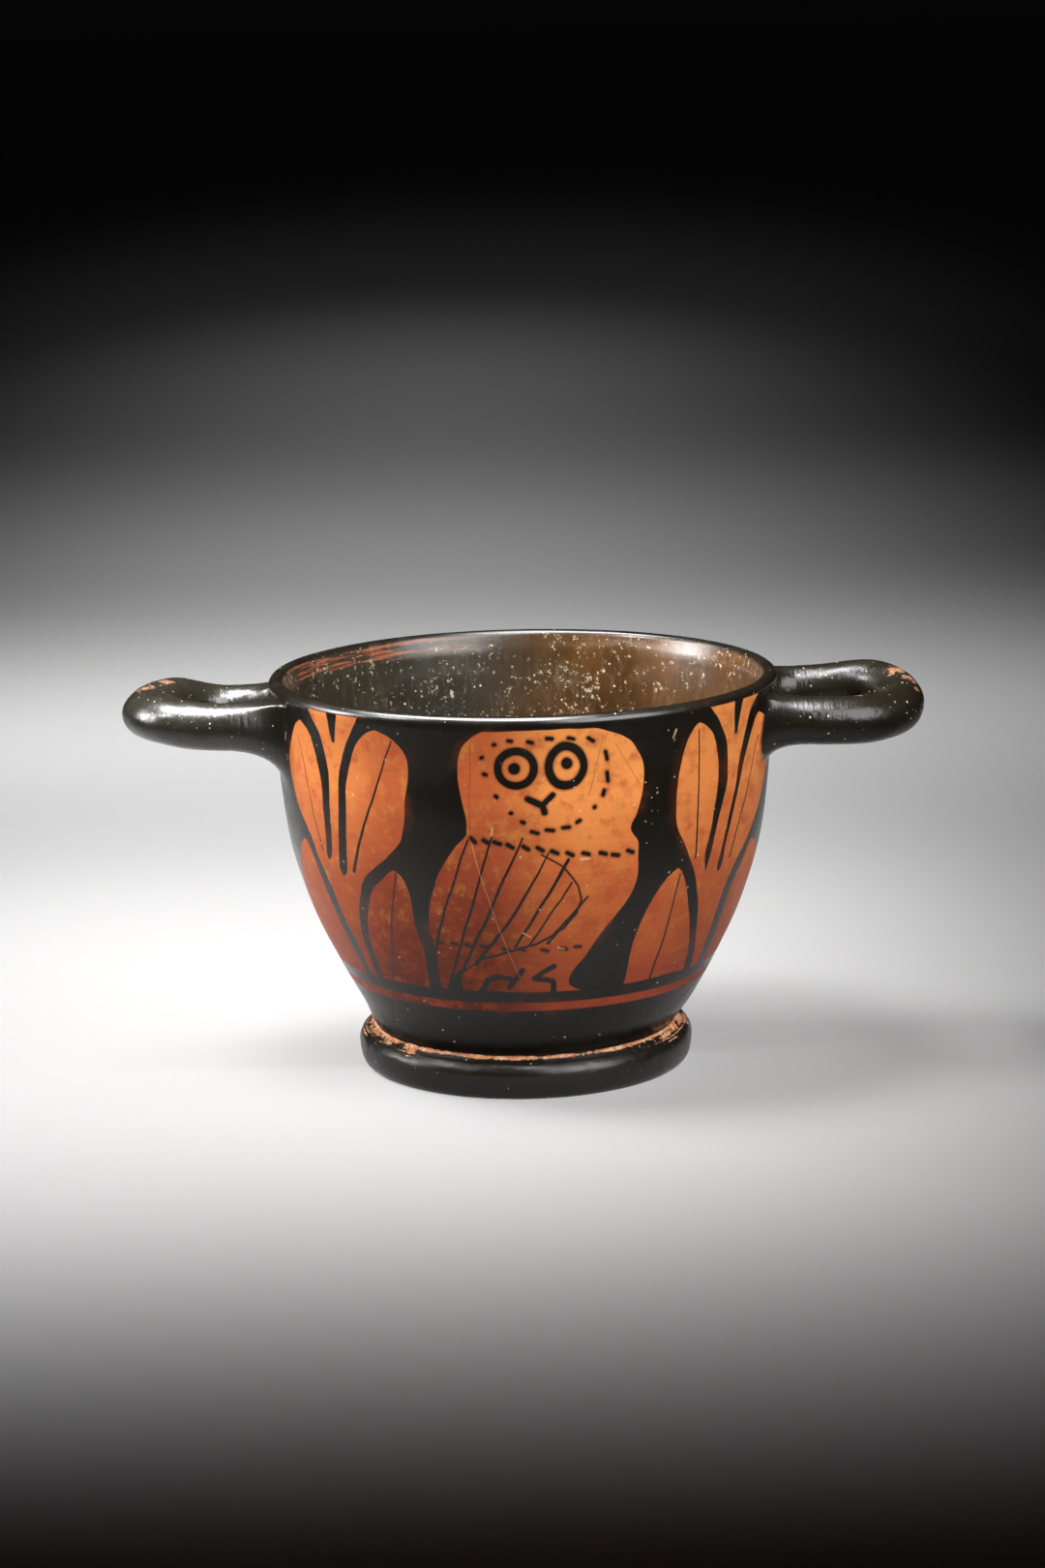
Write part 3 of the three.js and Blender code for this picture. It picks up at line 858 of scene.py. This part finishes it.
def cup_surface(node):
    """Where a point lies in millimetres, on the cup and on the unrolled wall, and the patterns there."""
    spot = SimpleNamespace()
    spot.place = node("VectorMath SCALE", node("TexCoord").outputs["Object"], 1 / MM)
    axes = node("SeparateXYZ", spot.place).outputs
    spot.x, spot.y, spot.z = axes["X"], axes["Y"], axes["Z"]
    spot.radius = node("VectorMath LENGTH", node("VectorMath MULTIPLY", spot.place, (1, 1, 0)))
    turn = node("Math ARCTAN2", spot.x, node("Math MULTIPLY", spot.y, -1.0))
    from_middle = node("Math SUBTRACT", turn, PAINT_MIDDLE)
    facing = node("Math WRAP", from_middle, math.pi / 2, -math.pi / 2)
    spot.across = node("Math MULTIPLY", facing, node("Math MINIMUM", spot.radius, RIM_RADIUS))
    for name in MARKS:
        setattr(spot, name, node("Attribute", attribute_name=name).outputs["Fac"])
    spot.front = node("MapRange", spot.y, *FRONT_SIDE)
    for name, (size, layers, strength) in PATTERNS.items():
        stretched = node("VectorMath DIVIDE", spot.place, size)
        setattr(spot, name, node("TexNoise", stretched, 1.0, layers, strength))

    # A hand-held brush wavers a little over each centimetre
    waver = node("VectorMath SUBTRACT", spot.brush_waver.outputs["Color"], (0.5, 0.5, 0.5))
    unrolled = node("CombineXYZ", spot.across, spot.z, 0.0)
    spot.drawn = node("VectorMath MULTIPLY_ADD", waver, (BRUSH_WAVER, BRUSH_WAVER, 0), unrolled)
    drawn_axes = node("SeparateXYZ", spot.drawn).outputs
    spot.drawn_across, spot.drawn_up = drawn_axes["X"], drawn_axes["Y"]
    return spot


def inside_figures(node, spot):
    """How far inside the owl, a leaf or the stripe a point lies, in millimetres: the clay left unpainted."""
    painted_width = 2 * PAINT_HALF_WIDTH
    across_share = node("MapRange", spot.drawn_across, -PAINT_HALF_WIDTH, PAINT_HALF_WIDTH, 0.0, 1.0)
    height_share = node("MapRange", spot.drawn_up, PAINT_LOW, PAINT_LOW + PAINT_RISE, 0.0, 1.0)

    def contour(points):
        """How far across a contour lies at the height of the point, as a share of the painted width."""
        curve = node("FloatCurve", 1.0, height_share)
        line = curve.mapping.curves[0]
        shares = [((z - PAINT_LOW) / PAINT_RISE, (x + PAINT_HALF_WIDTH) / painted_width) for z, x in points]
        line.points[0].location = shares[0]
        line.points[1].location = shares[-1]
        for share in shares[1:-1]:
            line.points.new(*share)
        for point in line.points:
            point.handle_type = "AUTO_CLAMPED"
        curve.mapping.update()
        return curve

    figures = []
    for left, right in [OWL] + LEFT_SPRAY + RIGHT_SPRAY:
        past_left = node("Math SUBTRACT", across_share, contour(left))
        before_right = node("Math SUBTRACT", contour(right), across_share)
        figures.append(node("Math MINIMUM", past_left, before_right))
    below_top = node("Math SUBTRACT", OWL_TOP, spot.drawn_up)
    figures[0] = node("Math MINIMUM", figures[0], node("Math DIVIDE", below_top, painted_width))
    reserved = node("Math MULTIPLY", chain(node, "Math MAXIMUM", *figures), painted_width)
    above_base = node("Math SUBTRACT", spot.drawn_up, FIELD_BASE)
    below_lip = node("Math SUBTRACT", FIELD_TOP, spot.z)
    reserved = chain(node, "Math MINIMUM", reserved, above_base, below_lip)
    off_stripe = node("Math ABSOLUTE", node("Math SUBTRACT", spot.z, (STRIPE_LOW + STRIPE_HIGH) / 2))
    stripe = node("Math SUBTRACT", (STRIPE_HIGH - STRIPE_LOW) / 2, off_stripe)
    return node("Math MAXIMUM", reserved, stripe)


def off_strokes(node, spot, strokes):
    """How far outside the nearest stroke a point lies, in millimetres."""
    distances = []
    for points, start_half, end_half in strokes:
        widening = (end_half - start_half) / (len(points) - 1)
        for step, (start, end) in enumerate(zip(points, points[1:])):
            run = Vector(end + (0,)) - Vector(start + (0,))
            offset = node("VectorMath SUBTRACT", spot.drawn, start + (0,))
            along = node("Clamp", node("VectorMath DOT_PRODUCT", offset, run / run.length_squared))
            away = node("VectorMath DISTANCE", offset, node("VectorMath SCALE", run, along))
            brush_half = node("Math MULTIPLY_ADD", along, widening, start_half + widening * step)
            distances.append(node("Math SUBTRACT", away, brush_half))
    return chain(node, "Math MINIMUM", *distances)


def off_eyes(node, spot):
    """How far outside the rings and pupils of the owl's eyes a point lies, in millimetres."""
    distances = []
    for ring, pupil, tall in EYES:
        offset = node("VectorMath SUBTRACT", spot.drawn, ring + (0,))
        from_centre = node("VectorMath LENGTH", node("VectorMath MULTIPLY", offset, (1, 1 / tall, 1)))
        off_middle = node("Math ABSOLUTE", node("Math SUBTRACT", from_centre, EYE_RING_MIDDLE))
        from_pupil = node("VectorMath DISTANCE", spot.drawn, pupil + (0,))
        distances.append(node("Math SUBTRACT", off_middle, EYE_RING_HALF))
        distances.append(node("Math SUBTRACT", from_pupil, PUPIL_RADIUS))
    return chain(node, "Math MINIMUM", *distances)


def bare_clay(node, spot):
    """Fired clay, wiped with a wet brush: yellow-orange by the rim, red-brown low and left of the owl. The
    darkening low down is partly painted shade, and the red towards the right is painted shade.
    """
    wiping_drift = 14.0
    cloud_drift = 18.0
    level = node("Math SUBTRACT", spot.z, (wiping_drift + cloud_drift) / 2)
    level = node("Math MULTIPLY_ADD", spot.wiping, wiping_drift, level)
    level = node("Math MULTIPLY_ADD", spot.clay_cloud, cloud_drift, level)
    to_middle = node("MapRange", level, *CLAY_MIDDLE)
    to_top = node("MapRange", level, *CLAY_TOP)

    def from_foot_to_rim(low, middle, high):
        """The clay's colours up the wall, darker towards the foot partly as painted shade."""
        return node("Mix RGBA", to_top, node("Mix RGBA", to_middle, low, middle), high)

    past_left = node("MapRange SMOOTHSTEP", spot.across, *RED_FROM)
    before_right = node("MapRange SMOOTHSTEP", spot.across, *RED_TO)
    to_red_ramp = node("Math MULTIPLY", past_left, before_right)
    # Painted shade: right of the owl the clay also goes towards the darker red ramp
    to_red_ramp = node("Math MAXIMUM", to_red_ramp, node("MapRange", spot.across, *SHADED_RIGHT))
    clay = node("Mix RGBA", to_red_ramp, from_foot_to_rim(*CLAY_BRIGHT), from_foot_to_rim(*CLAY_RED_AND_SHADE))
    ochre = node("Math MULTIPLY", node("MapRange", spot.clay_mottle, *OCHRE_LEVELS), to_middle)
    clay = node("Mix RGBA", ochre, clay, "#b57a38")
    return node("Mix RGBA", node("MapRange", spot.clay_stain, *STAIN_LEVELS), clay, "#943f25")


def black_gloss(node, spot, reserved):
    """Sintered slip: near black, red-brown where it was laid thin beside the figures, lighter grey on the
    rods as a painted sheen that is strongest on the left rod, and a duller olive to brown inside, where the
    lighter, warmer brown on the right is partly painted light."""
    off_gap = node("Math ABSOLUTE", node("Math SUBTRACT", spot.across, THIN_GAP))
    gap = node("Math MULTIPLY", node("MapRange", off_gap, *THIN_GAP_REACH),
               node("MapRange", spot.z, *THIN_GAP_HEIGHT))
    thin = node("Math MAXIMUM", node("MapRange SMOOTHSTEP", spot.gloss_depth, *THIN_LEVELS), gap)
    beside = node("MapRange SMOOTHSTEP", reserved, *BESIDE_FIGURES)
    thin = chain(node, "Math MULTIPLY", thin, beside, node("MapRange", reserved, *OFF_FIGURES), spot.wall)
    gloss = node("Mix RGBA", spot.gloss_depth, "#0a0805", "#17120c")
    gloss = node("Mix RGBA", thin, gloss, "#431d10")
    # Painted sheen: the rods are lightened towards grey, most on the left one
    grey_sheen = node("Math MULTIPLY", spot.rod, node("MapRange", spot.x, *ROD_GREY_SHEEN))
    gloss = node("Mix RGBA", grey_sheen, gloss, "#25231a")
    # The inside is lighter and warmer brown on the right: partly the lining's own colour, partly painted
    # light
    warm_lit_side = node("MapRange SMOOTHSTEP", spot.x, *LINING_WARM_AND_LIT)
    lining = node("Mix RGBA", warm_lit_side, "#27231a", "#432a10")
    depth = node("MapRange", spot.gloss_depth, *LINING_DEPTH)
    lining = node("Mix RGBA", 1.0, lining, depth, blend_type="MULTIPLY")
    return node("Mix RGBA", spot.inside, gloss, lining)


def lime_specks(node, spot):
    """Lime left from burial, as a share: pinpoints outside, and ragged flecks and dribbles on the inside."""
    more_inside = 0.14
    more_on_rods = 0.3
    dot_fade = 1.9
    crust_lift = 0.13
    cells = node("TexVoronoi", spot.place, 1 / LIME_DOT_SPACING, feature="F1")
    chance = node("SeparateColor", cells.outputs["Color"]).outputs
    often = node("MapRange", spot.lime_crust, *LIME_OFTEN)
    often = node("Math MULTIPLY_ADD", spot.inside, more_inside, often)
    often = node("Math MULTIPLY_ADD", spot.rod, more_on_rods, often)
    kept = node("Math LESS_THAN", chance[0], often)
    half = node("MapRange", chance[1], *LIME_DOT_HALF)
    dot = node("MapRange", cells.outputs["Distance"], half, node("Math MULTIPLY", half, dot_fade), 1.0, 0.0)
    dots = chain(node, "Math MULTIPLY", dot, kept, node("MapRange", chance[2], *LIME_DOT_STRENGTH))
    crust = node("MapRange", spot.lime_crust, *LIME_CRUST)
    fleck = node("Math MULTIPLY_ADD", crust, crust_lift, spot.lime_fleck)
    fleck = node("MapRange", fleck, *LIME_FLECKS)
    dribble = node("Math MULTIPLY", node("MapRange", spot.lime_dribble, *LIME_DRIBBLES), crust)
    lining = node("Math MULTIPLY", node("Math MAXIMUM", fleck, dribble), spot.inside)
    return node("Math MAXIMUM", dots, lining)


def worn_gloss(node, spot):
    """Where the gloss has flaked off: on the handles' ends, and on the foot's crease, shoulder and edge."""
    most_worn = 0.64
    crumb_share = 0.7
    wear_share = 0.55
    worn_within = 0.2
    sound_beyond = 1.3
    places = []
    for centre, reach in HANDLE_WEAR:
        away = node("VectorMath DISTANCE", spot.place, centre)
        places.append(node("MapRange", away, worn_within * reach, sound_beyond * reach, most_worn, 0.0))

    def by_height(middle, span):
        """A share by how far above or below a height the point lies."""
        return node("MapRange", node("Math ABSOLUTE", node("Math SUBTRACT", spot.z, middle)), *span)

    sides = node("MapRange", node("Math ABSOLUTE", spot.x), *FOOT_SIDES)
    crease = [by_height(CREASE_HEIGHT, CREASE_WEAR), node("MapRange", spot.foot_patch, *CREASE_PATCHES)]
    shoulder = [
        node("MapRange", spot.z, SHOULDER_LOW, SHOULDER_LOW + SHOULDER_EASE, 0.0, 1.0),
        node("MapRange", spot.z, SHOULDER_HIGH - SHOULDER_EASE, SHOULDER_HIGH, 1.0, 0.0),
        sides,
        node("MapRange", spot.foot_patch, *SHOULDER_PATCHES),
    ]
    edge = [
        by_height(EDGE_HEIGHT, EDGE_WEAR),
        node("MapRange", spot.foot_patch, *EDGE_PATCHES),
        node("MapRange", sides, *EDGE_SIDES),
    ]
    outside = node("MapRange", spot.radius, *FOOT_OUTSIDE)
    for shares in (crease, shoulder, edge):
        places.append(chain(node, "Math MULTIPLY", outside, *shares))
    weak = node("Math MULTIPLY", chain(node, "Math MAXIMUM", *places), wear_share)
    loss = node("Math MULTIPLY_ADD", spot.crumb, crumb_share, weak)
    return node("MapRange", loss, *WEAR_LEVELS)


def rim_rub(node, spot):
    """The broken red-brown lines where the gloss is rubbed thin inside the lip, at the back left."""
    spans = [(spot.rim_streak, RUB_LEVELS), (spot.z, RUB_HEIGHT), (spot.x, RUB_LEFT), (spot.y, RUB_BEHIND)]
    shares = [node("MapRange", value, *span) for value, span in spans]
    return chain(node, "Math MULTIPLY", spot.inside, *shares)


def painted_colour(node, spot, reserved, dabs):
    """The colours laid over each other as the potter, the painter and the years laid them."""
    clay = bare_clay(node, spot)

    # Thinned slip runs out a little round the dabs, and lines were scratched before and after firing
    clay = node("Mix RGBA", node("MapRange SMOOTHSTEP", dabs, *THINNED_REACH), clay, "#5c2a15")
    incised = node("MapRange", off_strokes(node, spot, INCISED), *INCISED_EDGE)
    clay = node("Mix RGBA", node("Math MULTIPLY", incised, spot.front), clay, "#6b2d18")
    scratched = node("MapRange", off_strokes(node, spot, SCRATCHES), *SCRATCH_EDGE)
    scratched = chain(node, "Math MULTIPLY", scratched, spot.front, spot.wall)

    # Under a flake the clay is chalky in places and dirty in others, and browner on the rods
    brown_share = 0.8
    brown_on_rods = node("Math MULTIPLY", spot.rod, brown_share)
    flaked = node("Mix RGBA", node("MapRange", spot.chalk, *CHALK_LEVELS), "#a9683f", "#c2a48a")
    flaked = node("Mix RGBA", node("MapRange", spot.chalk, *DIRT_LEVELS), flaked, "#6b6455")
    flaked = node("Mix RGBA", brown_on_rods, flaked, "#573825")
    layers = [
        (spot.bare, clay),
        (scratched, "#e0b58c"),
        (rim_rub(node, spot), "#8a4a33"),
        (spot.worn, flaked),
        (spot.specks, "#c4b79d"),
    ]
    colour = black_gloss(node, spot, reserved)
    for share, layer in layers:
        colour = node("Mix RGBA", share, colour, layer)
    return colour


def gloss_roughness(node, spot):
    """The gloss is smoothest on the wall, a little dulled inside, and gone where it is worn."""
    roughness = node("MapRange", spot.polish, *GLOSS_ROUGHNESS)
    rougher = [(spot.lining, 0.2), (spot.rod, 0.03), (spot.foot, 0.08), (spot.bare, 0.18), (spot.worn, 0.4),
               (spot.specks, 0.3)]
    for share, more in rougher:
        roughness = node("Math MULTIPLY_ADD", share, more, roughness)
    return roughness


def gloss_mirror(node, spot):
    """How well the gloss mirrors: best on the lip and the left rod, less low down, and least on bare clay."""
    least_mirror = 0.13
    on_wall = node("Math MULTIPLY", spot.wall, node("MapRange", spot.z, *BELOW_LIP))
    mirror = node("MapRange", on_wall, *WALL_MIRROR)
    mirror = node("Math MULTIPLY_ADD", spot.rod, node("MapRange", spot.x, *ROD_MIRROR), mirror)
    low_down = node("MapRange", spot.z, *LOW_DOWN)
    mirror = node("Math MULTIPLY_ADD", low_down, node("MapRange", spot.x, *LOW_MIRROR), mirror)
    dull = chain(node, "Math MAXIMUM", spot.bare, spot.lining, spot.worn)
    return node("MapRange", dull, 0.0, 1.0, mirror, least_mirror)


def hand_marks(node, spot):
    """Brush and finger marks in millimetres: level on the wall, rough on the rods, upright at their roots."""
    brushed_depth = 0.006
    pressed_depth = 0.1
    flake_depth = 0.05
    brushed = node("Math MULTIPLY", spot.brush_streak, brushed_depth)
    root_depth = node("MapRange", node("Math ABSOLUTE", spot.x), *ROOT_MARK_DEPTH)
    smoothed = node("Math MULTIPLY", spot.root_smoothing, root_depth)
    rod_marks = node("Math MULTIPLY_ADD", spot.finger_press, pressed_depth, smoothed)
    height = node("Math MULTIPLY_ADD", rod_marks, spot.rod, brushed)
    height = node("Math MULTIPLY_ADD", spot.worn, -flake_depth, height)
    return node("Bump", 1.0, MM, None, height)


def gloss_on_clay():
    """Black gloss slip on fired clay: a thin, hard, satin-bright black skin, brown where it lies thin, over
    orange clay that is bare, duller and warmer where the figures were left unpainted."""
    material = bpy.data.materials.new("black_gloss_slip_on_orange_clay")
    material.use_nodes = True
    tree = material.node_tree
    tree.nodes.clear()

    def node(kind, *values, **settings):
        """Adds a node to this material."""
        return add(tree, "ShaderNode" + kind, *values, **settings)

    spot = cup_surface(node)
    reserved = inside_figures(node, spot)
    lines = off_strokes(node, spot, WING + TAIL + FEET + MIDRIBS + CALYX_NOTCHES)
    dabs = node("Math MINIMUM", off_strokes(node, spot, BEAK + short_marks()), off_eyes(node, spot))
    unpainted = chain(node, "Math MINIMUM", reserved, lines, dabs)
    bare = node("MapRange SMOOTHSTEP", unpainted, -EDGE_BLUR, EDGE_BLUR, 0.0, 1.0)
    spot.bare = node("Math MULTIPLY", bare, spot.wall)
    spot.lining = node("Math MULTIPLY", spot.inside, node("MapRange", spot.z, *LINING_HEIGHT))
    spot.worn = worn_gloss(node, spot)
    spot.specks = lime_specks(node, spot)
    shader = node("BsdfPrincipled", painted_colour(node, spot, reserved, dabs))
    shader.inputs["IOR"].default_value = GLOSS_IOR
    finishes = {"Roughness": gloss_roughness, "Specular IOR Level": gloss_mirror, "Normal": hand_marks}
    for name, finish in finishes.items():
        tree.links.new(finish(node, spot).outputs[0], shader.inputs[name])
    node("OutputMaterial", shader)
    return material


def studio_floor():
    """A wide pale sheet that the cup stands on."""
    material = bpy.data.materials.new("pale_paper")
    material.use_nodes = True
    shader = material.node_tree.nodes["Principled BSDF"]
    shader.inputs["Base Color"].default_value = linear("#e4e3e3")
    paper_roughness = 0.8
    shader.inputs["Roughness"].default_value = paper_roughness
    mesh = bpy.data.meshes.new("studio_floor")
    reach = 30.0
    corners = [(x, y, 0) for x, y in ((-reach, -reach), (reach, -reach), (reach, reach), (-reach, reach))]
    mesh.from_pydata(corners, [], [(0, 1, 2, 3)])
    mesh.materials.append(material)
    floor = bpy.data.objects.new("studio_floor", mesh)
    bpy.context.scene.collection.objects.link(floor)
    return floor


def placed_light(data, place, aim, power, lights=None, shaded_by=None):
    """Sets a lamp to face a point. It lights and is shaded by everything, or by one thing alone."""
    data.energy = power
    lamp = bpy.data.objects.new(data.name, data)
    lamp.location = place
    lamp.rotation_euler = (Vector(aim) - Vector(place)).to_track_quat("-Z", "Y").to_euler()
    bpy.context.scene.collection.objects.link(lamp)
    if lights:
        lamp.light_linking.receiver_collection = bpy.data.collections.new(f"{data.name}_lights")
        lamp.light_linking.receiver_collection.objects.link(lights)
    if shaded_by:
        lamp.light_linking.blocker_collection = bpy.data.collections.new(f"{data.name}_shaded_by")
        lamp.light_linking.blocker_collection.objects.link(shaded_by)


def softbox(name, place, aim, size, power, spread=180.0, lights=None, shaded_by=None):
    """A soft four-sided light. A narrow spread keeps its light in a pool, as a grid over the cloth does."""
    data = bpy.data.lights.new(name, "AREA")
    data.shape = "RECTANGLE"
    data.size, data.size_y = size
    data.spread = math.radians(spread)
    placed_light(data, place, aim, power, lights, shaded_by)


def floor_pool(name, place, aim, power, cone, floor):
    """A spot with a soft edge that lights the floor alone."""
    lamp_radius = 0.15
    data = bpy.data.lights.new(name, "SPOT")
    data.shadow_soft_size = lamp_radius
    data.spot_size = math.radians(cone)
    data.spot_blend = 1.0
    placed_light(data, place, aim, power, lights=floor, shaded_by=floor)


def studio_light(cup, floor):
    """Soft boxes over the cup, to its left and its front right, others for the left handle and the floor, and
    two pools of light far back. Places and sizes are in metres, powers in watts and spreads in degrees."""
    ambient = 0.0015
    world = bpy.data.worlds.new("dark_studio")
    world.use_nodes = True
    world.node_tree.nodes["Background"].inputs["Color"].default_value = linear("#ffffff")
    world.node_tree.nodes["Background"].inputs["Strength"].default_value = ambient
    bpy.context.scene.world = world
    softbox("top_softbox", (-0.22, 0.0, 0.42), (-0.05, 0.02, 0), (0.28, 0.28), 0.13, 34)
    softbox("top_fill", (-0.05, 0.05, 0.42), (-0.05, 0.02, 0), (0.28, 0.28), 0.18, 34, shaded_by=floor)
    softbox("left_softbox", (-0.7, 0.35, 0.4), (-0.05, 0.28, 0), (0.26, 0.3), 0.31, 38)
    softbox("back_softbox", (-0.05, 0.15, 0.6), (-0.05, 0.38, 0), (0.2, 0.2), 0.23, 50)
    softbox("rear_softbox", (-0.05, 0.5, 0.6), (-0.05, 0.74, 0), (0.2, 0.2), 0.07, 50)
    softbox("side_softbox", (-0.62, 0.05, 0.25), (0, 0.04, 0.04), (0.26, 0.3), 0.34, 38, lights=cup)
    softbox("front_softbox", (0.6, -0.67, 0.62), (0, 0, 0.05), (0.8, 0.8), 16.5, lights=cup)
    softbox("overhead_softbox", (-0.13, -0.07, 0.56), (-0.08, 0, 0.07), (0.6, 0.24), 12, lights=cup)
    softbox("handle_softbox", (-0.5, -0.2, 0.5), (-0.07, 0, 0.07), (0.16, 0.12), 2.2, lights=cup)
    floor_pool("near_pool", (-0.05, 6, 1.5), (-0.05, 0.98, 0), 125, 5.5, floor)
    floor_pool("far_pool", (-0.05, -1.5, 1.0), (-0.05, 1.75, 0), 32, 14, floor)


def photo_camera():
    """The camera of the photograph: a long lens, a little above the rim and turned a degree."""
    lens = 85.0
    sensor = 36.0
    distance = 718.7
    elevation = math.radians(11.89)
    roll = math.radians(1.13)
    target = Vector((-0.43, 0, 54.35))
    data = bpy.data.cameras.new("photo_camera")
    data.lens = lens
    data.sensor_width = sensor
    camera = bpy.data.objects.new("photo_camera", data)
    back = Vector((0, -math.cos(elevation), math.sin(elevation)))
    level_up = Vector((0, math.sin(elevation), math.cos(elevation)))
    level_right = Vector((1, 0, 0))
    right = math.cos(roll) * level_right - math.sin(roll) * level_up
    up = math.sin(roll) * level_right + math.cos(roll) * level_up
    turn = Matrix((right, up, back)).transposed().to_4x4()
    camera.matrix_world = Matrix.Translation((target + back * distance) * MM) @ turn
    bpy.context.scene.collection.objects.link(camera)
    bpy.context.scene.camera = camera


def skyphos():
    """The whole cup as one finished piece."""
    clay = Clay()
    borders = thrown_cup(clay)
    rolled_handle(clay, 0, borders[0:2])
    rolled_handle(clay, 1, borders[2:4])
    form = fired_mesh(clay)
    sizes = {name: size * MM for name, size in RELIEF.items()}
    finished = grown(relief_tree(), form, sizes | {"Material": gloss_on_clay()})
    finished.name = "owl_skyphos"
    cup = bpy.data.objects.new("owl_skyphos", finished)
    bpy.context.scene.collection.objects.link(cup)
    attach(cup, "root")
    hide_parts("skyphos")
    return cup


studio_light(skyphos(), studio_floor())
photo_camera()
bpy.context.scene.view_settings.view_transform = "Standard"
